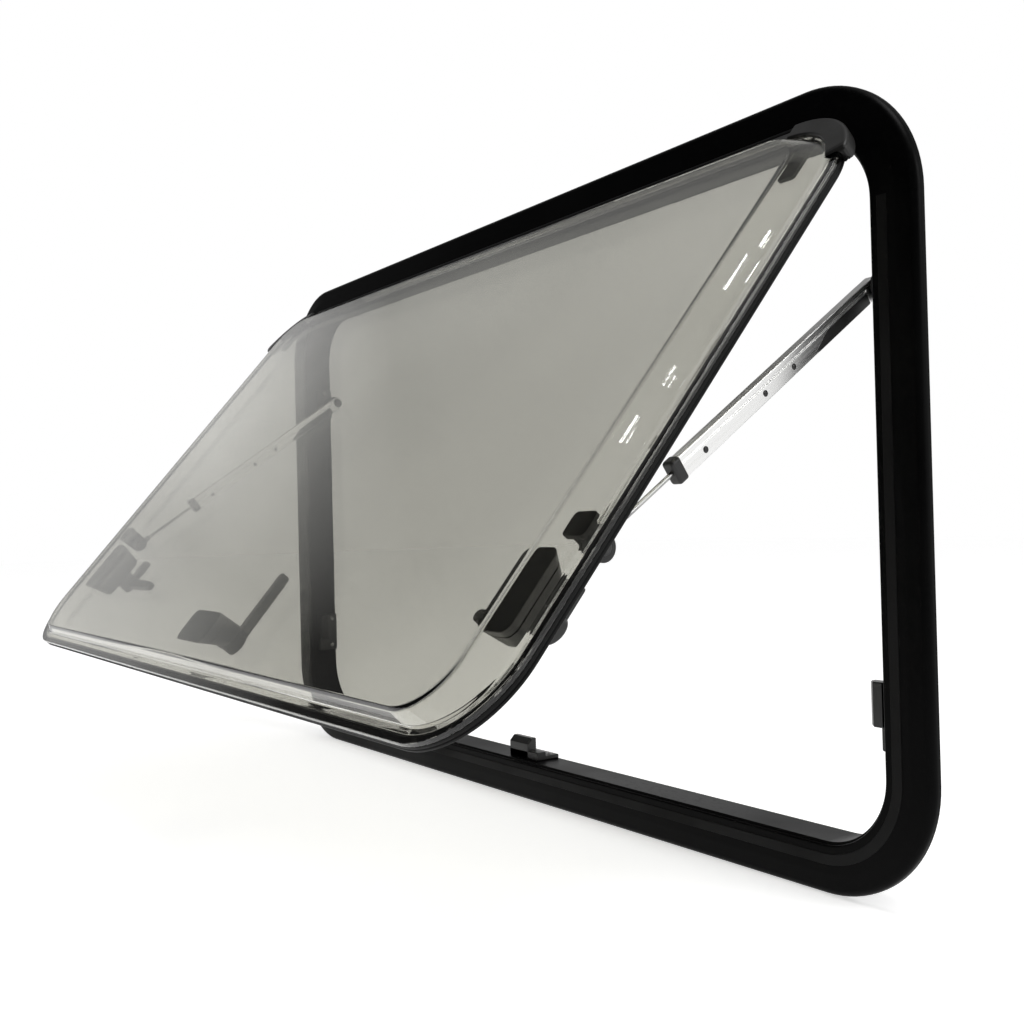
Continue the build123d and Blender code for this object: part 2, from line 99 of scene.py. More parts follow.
def camera_matrix(place, heading, pitch, roll):
    """World matrix of a camera: forward from heading and pitch, then right and up turned by the roll."""
    forward = np.array([-np.sin(heading) * np.cos(pitch), np.cos(heading) * np.cos(pitch), np.sin(pitch)])
    level = np.array([np.cos(heading), np.sin(heading), 0.0])
    above = np.cross(level, forward)
    right = np.cos(roll) * level + np.sin(roll) * above
    up = np.cos(roll) * above - np.sin(roll) * level
    return world_matrix(right, up, -forward, place * MM)


camera_data = bpy.data.cameras.new("photo_camera")
camera_data.sensor_width = SENSOR
camera_data.lens = FOCAL_PIXELS / PICTURE_PIXELS * SENSOR
camera_data.clip_start = 0.01
camera = bpy.data.objects.new("photo_camera", camera_data)
camera.matrix_world = camera_matrix(CAMERA_PLACE, HEADING, PITCH, ROLL)
bpy.context.collection.objects.link(camera)
bpy.context.scene.camera = camera
print("camera lens, mm:", round(camera_data.lens, 2))

# %% [markdown]
# ## Flat drawings and the planes they lie on
#
# Nearly every piece of a window is a drawing carried along something: a rounded rectangle with a moulded
# edge, or a rail's section pulled along its length. So a few small helpers make them all. One draws a
# closed outline with rounded corners, one carries an edge profile round it, and one turns the rings into
# a mesh. Two more join these steps. A plane turns flat places into places in space.

# %% Planes of the frame and of the open sash
RIGHT = np.array([1.0, 0.0, 0.0])
INWARD = np.array([0.0, 1.0, 0.0])
SIDES = (("left", -1), ("right", 1))
hinge_point = np.array(joints["sash_hinge"]["pos_m"]) / MM
swing = math.radians(-joints["sash_hinge"]["range_deg"][0])
OUTWARD = np.array([0.0, -math.cos(swing), math.sin(swing)])
UPWARD = np.array([0.0, math.sin(swing), math.cos(swing)])
AXIS_LIFT = 1.0
SASH_ORIGIN = hinge_point - AXIS_LIFT * OUTWARD


def plane(origin, across, normal):
    """Place function of a plane: origin + u * across + v * (normal x across) + w * normal."""
    upright = np.cross(normal, across)

    def place(u, v, w):
        return origin + u[..., None] * across + v[..., None] * upright + w[..., None] * normal

    return place


on_frame = plane(np.zeros(3), RIGHT, -INWARD)
on_sash = plane(SASH_ORIGIN, RIGHT, OUTWARD)
print("sash opens by", round(math.degrees(swing), 1), "degrees about", hinge_point.round(1))

# %% Outlines with rounded corners


def rounded_outline(corners, radii, steps=8, runs=0):
    """Closed outline with a tangent arc at each corner, as (points, outward normals).

    The arc's normal turns evenly from one side's normal to the next, and each point is the arc's centre
    plus the radius times that normal, or minus it at a hollow corner. runs adds even points on the sides.
    """
    corners = np.asarray(corners, float)
    radii = np.broadcast_to(np.asarray(radii, float), len(corners))
    following = np.roll(corners, -1, axis=0)
    if np.sum(corners[:, 0] * following[:, 1] - corners[:, 1] * following[:, 0]) < 0:
        corners, radii = corners[::-1], radii[::-1]
    leave = np.roll(corners, -1, axis=0) - corners
    leave /= np.linalg.norm(leave, axis=1, keepdims=True)
    arrive = np.roll(leave, 1, axis=0)
    turn = np.arctan2(arrive[:, 0] * leave[:, 1] - arrive[:, 1] * leave[:, 0], np.sum(arrive * leave, axis=1))
    side = np.stack([arrive[:, 1], -arrive[:, 0]], axis=1)
    bulge = (np.sign(turn) * radii)[:, None]
    centre = corners - arrive * (radii * np.tan(np.abs(turn) / 2))[:, None] - side * bulge
    angle = np.arctan2(side[:, 1], side[:, 0])[:, None] + turn[:, None] * np.linspace(0, 1, steps)
    normals = np.stack([np.cos(angle), np.sin(angle)], axis=-1)
    points = centre[:, None] + bulge[:, None] * normals
    share = (np.arange(1, runs + 1) / (runs + 1))[None, :, None]
    gap = np.roll(points[:, 0], -1, axis=0) - points[:, -1]
    points = np.concatenate([points, points[:, -1:] + gap[:, None] * share], axis=1)
    normals = np.concatenate([normals, np.repeat(normals[:, -1:], runs, axis=1)], axis=1)
    return points.reshape(-1, 2), normals.reshape(-1, 2)


def rounded_rectangle(width, height, radius, middle=(0, 0), steps=16, runs=0):
    """Rounded rectangle as an outline that starts at its top left corner and runs down the left side."""
    signs = np.array([(-1, 1), (-1, -1), (1, -1), (1, 1)])
    return rounded_outline(signs * (width / 2, height / 2) + middle, radius, steps, runs)


def circle(radius, steps=32):
    """Circle as an outline: points are the radius times the normals."""
    angle = np.arange(steps) * 2 * np.pi / steps
    normals = np.stack([np.cos(angle), np.sin(angle)], axis=-1)
    return radius * normals, normals


# %% Carry an edge profile round an outline


def carry(outline, profile, place):
    """Rings of a profile carried round an outline: ring k is outline - inset_k * normals at height_k."""
    points, normals = outline
    inset, height = np.asarray(profile, float).T
    flat = points[None] - inset[:, None, None] * normals[None]
    return place(flat[..., 0], flat[..., 1], np.broadcast_to(height[:, None], flat.shape[:2]))


def slab_edge(low, high, low_round, high_round, steps=5):
    """Profile of a slab from one height to another, with a quarter round on each rim."""
    turn = np.linspace(0, np.pi / 2, steps)
    rise = np.sign(high - low)
    below = np.stack([low_round * (1 - np.sin(turn)), low + rise * low_round * (1 - np.cos(turn))], axis=1)
    above = np.stack([high_round * (1 - np.cos(turn)), high - rise * high_round * (1 - np.sin(turn))], axis=1)
    return np.concatenate([below, above])


def skin(rings, loop=False):
    """Faces between stacked closed rings: quads join neighbours, and flat caps close a stack with ends."""
    count, around = rings.shape[:2]
    index = np.arange(count * around).reshape(count, around)
    low, high = (index, np.roll(index, -1, axis=0)) if loop else (index[:-1], index[1:])
    quads = np.stack([low, np.roll(low, -1, axis=1), np.roll(high, -1, axis=1), high], axis=-1)
    faces = quads.reshape(-1, 4).tolist()
    if not loop:
        faces += [index[0].tolist(), index[-1].tolist()]
    return rings.reshape(-1, 3), faces


def swept(outline, profile, place):
    """Closed skin of a profile carried round an outline, with flat ends."""
    return skin(carry(outline, profile, place))


def slab(outline, low, high, low_round, high_round, place, steps=5):
    """Closed skin of a slab over an outline, from one height to another, with round rims."""
    return swept(outline, slab_edge(low, high, low_round, high_round, steps), place)


# %% Turn skins into a piece


def piece(name, skins, body, slot, nodes=(), crease=38):
    """One object from several skins, with its faces turned outwards, that rides on a body."""
    starts = np.cumsum([0] + [len(points) for points, _ in skins[:-1]])
    faces = [[start + i for i in face] for start, (_, part) in zip(starts, skins) for face in part]
    mesh = bpy.data.meshes.new(name)
    mesh.from_pydata((np.concatenate([points for points, _ in skins]) * MM).tolist(), [], faces)
    work = bmesh.new()
    work.from_mesh(mesh)
    bmesh.ops.recalc_face_normals(work, faces=work.faces)
    work.to_mesh(mesh)
    work.free()
    mesh.shade_smooth()
    mesh.set_sharp_from_angle(angle=math.radians(crease))
    made = bpy.data.objects.new(name, mesh)
    bpy.context.collection.objects.link(made)
    made.modifiers.new("even_normals", "WEIGHTED_NORMAL").keep_sharp = True
    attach(made, body)
    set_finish(made, slot)
    if nodes:
        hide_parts(*nodes)
    print(f"{name}: {len(mesh.vertices)} points on {body}")


# %% [markdown]
# ## The frame
#
# The frame is one moulding: a broad face that falls away to a rounded outer edge, a small ledge round the
# opening and a spigot that goes through the wall. Its section is carried once round the opening and joined
# to itself. Only along the top is it cut back, to make room for the hinge, so the two rings there are
# repeated with the cut section. Every corner of the section is rounded, because a dead sharp edge catches
# no light.

# %% Carry the frame section round the opening
flange_low, flange_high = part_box("outer_frame")
FACE_WIDTH, FACE_HEIGHT, EDGE_HEIGHT, LEDGE_WIDTH, LEDGE_HEIGHT = 29.0, 8.0, 6.6, 1.4, 5.6
SPIGOT_DEPTH, SPIGOT_WALL, OPEN_CORNER, CORNER_STEPS = 20.0, 6.0, 41.0, 24
HINGE_CUT, HINGE_CUT_HEIGHT, CUT_STEP = 8.7, 4.3, 0.2
OPEN_WIDTH = (flange_high.x - flange_low.x) / MM - 2 * FACE_WIDTH
OPEN_HEIGHT = (flange_high.z - flange_low.z) / MM - 2 * FACE_WIDTH
opening = rounded_rectangle(OPEN_WIDTH, OPEN_HEIGHT, OPEN_CORNER, steps=CORNER_STEPS)
FRAME_SECTION = [(0, -SPIGOT_DEPTH, 0.6), (0, LEDGE_HEIGHT, 0.7), (LEDGE_WIDTH, LEDGE_HEIGHT, 0.4),
                 (LEDGE_WIDTH, FACE_HEIGHT, 1.2), (HINGE_CUT, FACE_HEIGHT, 0.1),
                 (HINGE_CUT + CUT_STEP, FACE_HEIGHT, 0.1), (17, FACE_HEIGHT, 20),
                 (FACE_WIDTH, EDGE_HEIGHT, 4.8), (FACE_WIDTH, 0, 0.3), (SPIGOT_WALL, 0, 0.3),
                 (SPIGOT_WALL, -SPIGOT_DEPTH, 0.6)]


def section_outline(section, steps=8):
    """Closed section from rows of (offset, height, corner radius)."""
    rows = np.asarray(section, float)
    return rounded_outline(rows[:, :2], rows[:, 2], steps)


frame_profile = section_outline(FRAME_SECTION)[0] * (-1, 1)
cut_height = np.minimum(frame_profile[:, 1], HINGE_CUT_HEIGHT)
cut_profile = np.where(frame_profile[:, :1] > -HINGE_CUT - 0.75 * CUT_STEP,
                       np.stack([frame_profile[:, 0], cut_height], axis=1), frame_profile)
whole, cut = carry(opening, frame_profile, on_frame), carry(opening, cut_profile, on_frame)
frame_rings = np.concatenate([whole, cut[:, -1:], cut[:, :1]], axis=1)
piece("frame_moulding", [skin(frame_rings, loop=True)], "frame", "frame_black", ["outer_frame"])

# %% [markdown]
# ## The rubber strips
#
# A soft strip lies in the frame's face down both sides and along the bottom, and a slim seal is bonded
# behind the rim of the sash, flush with its edge. Both stop at the hinge, so their sections are
# carried along an open path and the two ends are capped.

# %% Frame gasket and sash seal
GASKET_SECTION = [(6, 7.7, 0.1), (12, 7.7, 0.1), (12, 8.4, 0.35), (9, 8.4, 0.5), (6, 8.4, 0.35)]
SASH_WIDTH, SASH_DROP, PANE_TOP, SASH_CORNER = 706.0, 396.0, 7.0, 50.0
SASH_MIDDLE = (0, -(SASH_DROP + PANE_TOP) / 2)
SEAL_SECTION = [(4, 0, 0.5), (4, 4, 0.2), (0.2, 4, 0.2), (0, 3.4, 0.3), (0, 2.6, 0.3), (0.4, 2.3, 0.2),
                (0.4, 1.8, 0.2), (0, 1.5, 0.3), (0, 0, 0.7), (1.6, 0, 0.2), (2, 0.5, 0.2), (2.4, 0, 0.2)]


def strip(outline, section, place, first=0, last=None):
    """Section carried along part of an outline, with a cap at each end."""
    span = slice(first, last)
    path = (outline[0][span], outline[1][span])
    return skin(np.swapaxes(carry(path, section, place), 0, 1))


sash_edge = rounded_rectangle(SASH_WIDTH, SASH_DROP - PANE_TOP, SASH_CORNER, SASH_MIDDLE, CORNER_STEPS)
gasket_profile = section_outline(GASKET_SECTION, steps=5)[0] * (-1, 1)
gasket = strip(opening, gasket_profile, on_frame, CORNER_STEPS - 1, 3 * CORNER_STEPS + 1)
piece("frame_gasket_strip", [gasket], "frame", "seal_rubber", ["frame_gasket"])
seal_profile = section_outline(SEAL_SECTION, steps=4)[0]
piece("sash_edge_seal", [strip(sash_edge, seal_profile, on_sash)], "sash", "seal_rubber", ["edge_seal"])

# %% [markdown]
# ## The domed outer pane
#
# The outer pane is one sheet of acrylic, blown so that a flat field stands proud of a flat rim. A bevel
# joins them: broad at the sides, steep along the top and bottom, with a small round at its foot and a
# larger one at its shoulder. Solidify would smear those rounds, so both faces of the sheet are drawn from
# the same arc centres and closed by a polished edge. The field swells by a fraction of a millimetre, which
# is what makes real reflections in such a pane bend.

# %% Outlines of the rim and of the raised field
SEAL_THICK, PANE_THICK, RIM_FRONT, DOME_RISE, CROWN = 4.0, 3.0, 7.0, 7.0, 0.6
BEVEL_START, BEVEL_SIDE, BEVEL_TOP, BEVEL_BOTTOM, DOME_CORNER = 8.0, 30.0, 10.5, 11.5, 30.0
FOOT_RUN, SHOULDER_RUN, EDGE_ROUND = 1.0, 2.0, 0.5
PANE_STEPS, SIDE_RUNS, ARC_RINGS, FIELD_RINGS, LAST_RING = 20, 14, 14, 14, 0.02
field_middle = (0, SASH_MIDDLE[1] + (BEVEL_BOTTOM - BEVEL_TOP) / 2)
field_size = (SASH_WIDTH - 2 * BEVEL_SIDE, SASH_DROP - PANE_TOP - BEVEL_TOP - BEVEL_BOTTOM)
rim = rounded_rectangle(SASH_WIDTH, SASH_DROP - PANE_TOP, SASH_CORNER, SASH_MIDDLE, PANE_STEPS, SIDE_RUNS)
field = rounded_rectangle(*field_size, DOME_CORNER, field_middle, PANE_STEPS, SIDE_RUNS)
foot = rim[0] - BEVEL_START * rim[1]
bevel_width = np.linalg.norm(field[0] - foot, axis=1)
toward_field = (field[0] - foot) / bevel_width[:, None]
print("bevel width, mm:", bevel_width.min().round(1), "to", bevel_width.max().round(1))

# %% Blow the outer pane


def sheet_face(depth):
    """One face of the sheet, as rings from its foot to the middle of the field, at a depth below the front.

    The bevel climbs at b = atan(rise / width). Its foot is an arc about (-f tan(b/2), f) and its shoulder an
    arc about (width + s tan(b/2), rise - s), where f tan(b/2) and s tan(b/2) are the same all round, so a
    broad bevel has the softer rounds. A face at a depth keeps both centres: the foot's radius grows by the
    depth and the shoulder's shrinks by it. Field rings shrink to the middle by k, with a crown of 1 - k * k.
    """
    slope = np.arctan2(DOME_RISE, bevel_width)
    foot_round, shoulder_round = FOOT_RUN / np.tan(slope / 2), SHOULDER_RUN / np.tan(slope / 2)
    turn = np.linspace(0, 1, ARC_RINGS)[:, None] * slope
    foot_run = (foot_round + depth) * np.sin(turn) - FOOT_RUN
    foot_height = foot_round - (foot_round + depth) * np.cos(turn)
    top_run = bevel_width + SHOULDER_RUN - (shoulder_round - depth) * np.sin(turn[::-1])
    top_height = DOME_RISE - shoulder_round + (shoulder_round - depth) * np.cos(turn[::-1])
    flat = foot + np.concatenate([foot_run, top_run])[..., None] * toward_field
    shrink = np.linspace(1, LAST_RING, FIELD_RINGS)[1:, None]
    inner = np.array(field_middle) + shrink[..., None] * (flat[-1] - field_middle)
    crown = DOME_RISE - depth + CROWN * (1 - shrink**2) + 0 * bevel_width
    around = np.concatenate([flat, inner])
    height = RIM_FRONT + np.concatenate([foot_height, top_height, crown])
    return on_sash(around[..., 0], around[..., 1], height)


polished_edge = carry(rim, slab_edge(RIM_FRONT, SEAL_THICK, EDGE_ROUND, EDGE_ROUND), on_sash)
pane_rings = np.concatenate([sheet_face(0)[::-1], polished_edge, sheet_face(PANE_THICK)])
piece("domed_outer_pane", [skin(pane_rings)], "sash", "smoked_acrylic", ["outer_pane"], crease=60)
print("dome height above the rim, mm:", DOME_RISE + CROWN)

# %% [markdown]
# ## The flat inner pane
#
# Behind the dome a thin flat sheet closes the air gap. It is a slab with polished round edges.

# %% Cut the inner pane
INNER_BACK, SEAL_WIDTH, INNER_GAP = 2.0, 4.0, 0.5
inner_inset = SEAL_WIDTH + INNER_GAP
inner_outline = rounded_rectangle(SASH_WIDTH - 2 * inner_inset, SASH_DROP - PANE_TOP - 2 * inner_inset,
                                  SASH_CORNER - inner_inset, SASH_MIDDLE, PANE_STEPS)
piece("flat_inner_pane", [slab(inner_outline, INNER_BACK, SEAL_THICK, EDGE_ROUND, EDGE_ROUND, on_sash)],
      "sash", "smoked_acrylic", ["inner_pane"])

# %% [markdown]
# ## The hinge
#
# The hinge is two extrusions. A C-shaped channel on the frame holds a bead, and the bead belongs to a rail
# whose jaws grip the top of the panes. Curved end caps carry the line round the sash's corners. The first
# two are sections pulled along X. The caps are a section turned about the corner's centre.

# %% Channel and rail
along_hinge = plane(hinge_point, INWARD, RIGHT)
across_rail = plane(SASH_ORIGIN, OUTWARD, -RIGHT)
BEAD, PLAY, CHANNEL_WALL, NECK, MOUTH_PLAY, CHANNEL_END_GAP = 3.0, 0.3, 2.4, 2.4, 0.6, 2.0
RAIL_HALF = SASH_WIDTH / 2 - SASH_CORNER
CHANNEL_HALF = RAIL_HALF - CHANNEL_END_GAP
RAIL_SECTION = [(4, 3, 3), (-2, 3, 3), (-2, -2.9, 1.7), (-0.2, -2.9, 0.1), (-0.2, -8.3, 0.3), (1, -8.3, 0.3),
                (1, -11, 0.3), (4, -11, 0.3), (4, -7, 0.2), (7, -7, 0.2), (7, -13, 0.3), (9, -13, 0.6),
                (9, -6.3, 1.8), (2.2, -6.3, 0.4), (2.2, -2.9, 0.1), (4, -2.9, 1.7)]


def channel_outline(steps=48):
    """C-shaped section: an outer and an inner arc about the axis, from lip to lip of the mouth."""
    mouth = math.asin((NECK / 2 + MOUTH_PLAY) / (BEAD + PLAY))
    turn = np.linspace(swing + mouth, 2 * np.pi - mouth, steps)
    ray = np.stack([-np.sin(turn), -np.cos(turn)], axis=1)
    points = np.concatenate([ray * (BEAD + PLAY + CHANNEL_WALL), ray[::-1] * (BEAD + PLAY)])
    return points, np.concatenate([ray, -ray[::-1]])


def pulled(half, chamfer=0.35):
    """Profile of a section pulled from -half to half, with a small chamfer at each end."""
    return [(chamfer, -half), (0, chamfer - half), (0, half - chamfer), (chamfer, half)]


piece("hinge_channel_extrusion", [swept(channel_outline(), pulled(CHANNEL_HALF), along_hinge)],
      "frame", "frame_black", ["hinge_channel"])
piece("hinge_rail_extrusion", [swept(section_outline(RAIL_SECTION), pulled(RAIL_HALF), across_rail)],
      "sash", "hinge_metal", ["hinge_rail"])

# %% Curved end caps
CAP_SECTION = [(43.2, 7, 0.4), (50.1, 7, 0.3), (50.1, 1, 0.6), (56, 1, 1.0), (56, 9.9, 2.2), (43.2, 9.7, 1.6)]
CAP_RUN = [(1.3, 90), (0.4, 89.6), (0, 88.8), (0, 71), (0, 54), (0, 37), (0, 19.4), (0.3, 16.8), (0.9, 15.2),
           (1.9, 14.2)]
CAP_RINGS = 64


def round_corner(sign):
    """Place function about a sash corner: u is the radius, v the height and w the angle in degrees."""

    def place(u, v, w):
        turn = np.radians(w)
        return on_sash(sign * (RAIL_HALF + u * np.cos(turn)), u * np.sin(turn) - PANE_TOP - SASH_CORNER, v)

    return place


knots = np.arange(len(CAP_RUN))
fine_run = np.stack([np.interp(np.linspace(0, knots[-1], CAP_RINGS), knots, column)
                     for column in np.array(CAP_RUN).T], axis=1)
for side, sign in SIDES:
    piece(f"hinge_end_cap_{side}", [swept(section_outline(CAP_SECTION), fine_run, round_corner(sign))],
          "sash", "black_moulding", [f"hinge_cap_{side}"])

# %% Corner braces
BRACE_WIDTH, BRACE_LENGTH, BRACE_THICK, BRACE_INSET, BRACE_BELOW = 11.0, 30.0, 2.2, 36.0, 25.0
RIDGE_WIDTH, RIDGE_LENGTH, RIDGE_FOOT, RIDGE_TOP, BRACE_CORNER = 5.0, 23.0, 2.0, 3.0, 2.0
brace_plan = rounded_rectangle(BRACE_WIDTH, BRACE_LENGTH, BRACE_CORNER, steps=8)
ridge_plan = rounded_rectangle(RIDGE_WIDTH, RIDGE_LENGTH, BRACE_CORNER, steps=8)
for side, sign in SIDES:
    middle = SASH_ORIGIN + RIGHT * sign * (SASH_WIDTH / 2 - BRACE_INSET) - UPWARD * (PANE_TOP + BRACE_BELOW)
    behind = plane(middle, RIGHT, OUTWARD)
    piece(f"corner_brace_bar_{side}", [
        slab(brace_plan, INNER_BACK, INNER_BACK - BRACE_THICK, 0.2, 0.8, behind),
        slab(ridge_plan, INNER_BACK - RIDGE_FOOT, INNER_BACK - RIDGE_TOP, 0, 0.6, behind),
    ], "sash", "black_moulding", [f"corner_brace_{side}"])

# %% [markdown]
# ## The stays
#
# Each stay is a grooved aluminium bar that turns on the frame. A moulded collar at its free end guides a
# thin rod, and the rod ends in an eye beside the sash's bracket. The bar is a section pulled along the stay
# and a flat eye. A black friction strip lines its lower half near the frame, and small dark rivets hold the
# block that the rod slides in.

# %% Where a stay runs
PIN_DROP, PIN_BEHIND, EYE, SLEEVE, STAY_THICK, STAY_WIDTH = 278.0, 12.0, 5.5, 4.0, 6.0, 11.0
COLLAR_LENGTH, COLLAR_WALL, COLLAR_GAP, ROD_RADIUS, ROD_END_GAP = 6.0, 0.8, 2.0, 1.25, 10.0
pivot = np.array(joints["stay_right_turn"]["pos_m"]) / MM
STAY_X = abs(pivot[0])
pin_open = SASH_ORIGIN - PIN_DROP * UPWARD - PIN_BEHIND * OUTWARD
pin_closed = hinge_point + np.array([0, AXIS_LIFT + PIN_BEHIND, -PIN_DROP])
reach = (pin_open - pivot) * (0, 1, 1)
STAY_OPEN = np.linalg.norm(reach)
ALONG = reach / STAY_OPEN
STAY_CLOSED = np.linalg.norm((pin_closed - pivot) * (0, 1, 1))
STAY_LENGTH = STAY_CLOSED - EYE - SLEEVE - COLLAR_GAP - COLLAR_LENGTH
print("stay, closed and open, mm:", STAY_CLOSED.round(1), STAY_OPEN.round(1))

# %% Bars, collars, rods and eyes
BAR_FACE = [(3, -5.5, 0.5), (3, 1.4, 0.15), (1.8, 1.4, 0.15), (1.8, 2.6, 0.15), (3, 2.6, 0.15), (3, 5.5, 0.5)]
BAR_SECTION = BAR_FACE + [(-u, v, r) for u, v, r in BAR_FACE[::-1]]
EYE_PLAN = [(-5.5, -5.5, 5.5), (-5.5, 5.5, 5.5), (9, 5.5, 0.4), (9, -5.5, 0.4)]
SHOE_PLAN = [(10, -5.2, 1), (10, 0.8, 0.3), (50, 0.8, 0.3), (62, -3.4, 0.5), (62, -5.2, 0.5)]
BAR_START, BAR_CHAMFER, SHOE_HALF = 8.0, 0.3, 0.3
RIVETS, RIVET_SHIFT, RIVET_RADIUS, RIVET_HEIGHT = (83.0, 109.0, 160.0), -1.4, 1.7, 0.6
SLEEVE_RADIUS, SLEEVE_LAP, EYE_HALF, HUB_RADIUS, HUB_FOOT, HUB_TOP = 2.4, 2.5, 2.0, 4.0, 1.8, 3.8
ROD_START = BAR_START + ROD_END_GAP + STAY_OPEN - STAY_CLOSED


def button(radius, height, place, steps=24):
    """Low domed head: radius times the cosine, height times the sine of a quarter turn."""
    turn = np.linspace(0, np.pi / 2 * 0.97, 7)
    profile = np.stack([radius * (1 - np.cos(turn)), height * np.sin(turn)], axis=1)
    return swept(circle(radius, steps), np.concatenate([[(0, -0.4)], profile]), place)


bar_run = [(BAR_CHAMFER, BAR_START), (0, BAR_START + BAR_CHAMFER), (0, STAY_LENGTH - BAR_CHAMFER),
           (BAR_CHAMFER, STAY_LENGTH)]
collar_plan = rounded_rectangle(STAY_THICK + 2 * COLLAR_WALL, STAY_WIDTH + 2 * COLLAR_WALL, 2.0, steps=8)
rod_end = STAY_OPEN - EYE
rivet_row = np.cross(ALONG, RIGHT) * RIVET_SHIFT
for side, sign in SIDES:
    start = pivot * (0, 1, 1) + RIGHT * sign * STAY_X
    flat = plane(start, ALONG, RIGHT * sign)
    cross = plane(start, RIGHT, ALONG)
    faces = {face: start + RIGHT * face * STAY_THICK / 2 for face in (-1, 1)}
    piece(f"stay_bar_{side}", [
        swept(section_outline(BAR_SECTION, 4), bar_run, cross),
        slab(section_outline(EYE_PLAN, 12), -STAY_THICK / 2, STAY_THICK / 2, 0.8, 0.8, flat),
    ], f"stay_{side}", "stay_metal", [f"stay_channel_{side}"])
    piece(f"stay_end_collar_{side}", [
        slab(collar_plan, STAY_LENGTH, STAY_LENGTH + COLLAR_LENGTH, 0.5, 1.6, cross),
    ], f"stay_{side}", "black_moulding", [f"stay_collar_{side}"])
    heads = [button(RIVET_RADIUS, RIVET_HEIGHT, plane(origin + ALONG * at + rivet_row, ALONG, RIGHT * face))
             for at in RIVETS for face, origin in faces.items()]
    shoes = [slab(section_outline([(u, -face * v, r) for u, v, r in SHOE_PLAN], 4), -SHOE_HALF, SHOE_HALF,
                  0, 0.2, plane(origin, ALONG, RIGHT * face)) for face, origin in faces.items()]
    piece(f"stay_friction_strip_{side}", heads + shoes, f"stay_{side}", "black_moulding")
    piece(f"stay_slide_rod_{side}", [slab(circle(ROD_RADIUS, 24), ROD_START, rod_end, 0.4, 0.2, cross)],
          f"rod_{side}", "rod_steel", [f"stay_rod_{side}"])
    eye_flat = plane(start + ALONG * STAY_OPEN, ALONG, RIGHT * sign)
    piece(f"rod_end_eye_{side}", [
        slab(circle(SLEEVE_RADIUS), rod_end - SLEEVE, rod_end + SLEEVE_LAP, 0.6, 0.2, cross),
        slab(circle(EYE), -EYE_HALF, EYE_HALF, 0.7, 0.7, eye_flat),
        slab(circle(HUB_RADIUS), HUB_FOOT, HUB_TOP, 0.2, 0.4, eye_flat),
    ], f"rod_{side}", "black_moulding", [f"rod_eye_{side}"])

# %% [markdown]
# ## Brackets and screws
#
# The stays hang between two pairs of brackets. Each has a plate, a boss or an ear and a pin with a domed
# head. Screws hold the plates: their heads are a dome over a polar grid, pressed down where a cross-shaped
# recess cuts it.

# %% Screw heads
PAN_RISE, PAN_FALL, SLOT_HALF, SLOT_REACH, SLOT_DEPTH, SCREW_SUNK = 0.42, 0.92, 0.16, 0.62, 0.3, -0.3


def screw_head(radius, place, rings=10, around=64):
    """Pan head on a polar grid: height = dome(r), less a recess where the point lies inside a cross."""
    share = np.linspace(LAST_RING, 1, rings)[::-1, None]
    turn = np.arange(around) * 2 * np.pi / around
    x, y = radius * share * np.cos(turn), radius * share * np.sin(turn)
    height = PAN_RISE * radius * np.sqrt(np.clip(1 - PAN_FALL * share**2, 0, 1)) + 0 * turn
    bar = np.minimum(np.abs(x), np.abs(y)) < SLOT_HALF * radius
    inside = np.maximum(np.abs(x), np.abs(y)) < SLOT_REACH * radius
    height = np.where(bar & inside, height - SLOT_DEPTH * radius, height)
    base = place(x[:1], y[:1], np.full((1, around), SCREW_SUNK))
    return skin(np.concatenate([base, place(x, y, height)]))


def screws(name, places, body, radius):
    """Several screw heads as one piece."""
    piece(name, [screw_head(radius, place) for place in places], body, "rod_steel", crease=30)


# %% Stay brackets on the frame and on the sash
BRACKET_LENGTH, BRACKET_WIDTH, BRACKET_PLATE, STAY_INSET = 30.0, 16.0, 3.0, 18.0
BOSS_RADIUS, PIN_RADIUS, PIN_PLAY, HEAD_RADIUS, HEAD_HEIGHT = 7.0, 2.5, 0.6, 4.1, 1.5
FOOT_LENGTH, EAR_NEAR, EAR_THICK, EAR_ROUND, EAR_REACH = 14.0, 4.4, 3.0, 7.0, 13.6
BRACKET_SCREW_ROWS, BRACKET_SCREW_RADIUS = (-11.3, 11.3), 2.3
boss_end, pin_end = STAY_INSET - STAY_THICK / 2 - PIN_PLAY, STAY_INSET + STAY_THICK / 2 + PIN_PLAY
plate_plan = rounded_rectangle(BRACKET_WIDTH, BRACKET_LENGTH, 2.5, steps=8)
ear_plan = section_outline([(-EAR_ROUND, -EAR_ROUND, EAR_ROUND), (-EAR_ROUND, EAR_ROUND, EAR_ROUND),
                            (EAR_REACH, EAR_ROUND, 0.3), (EAR_REACH, -EAR_ROUND, 0.3)], 12)
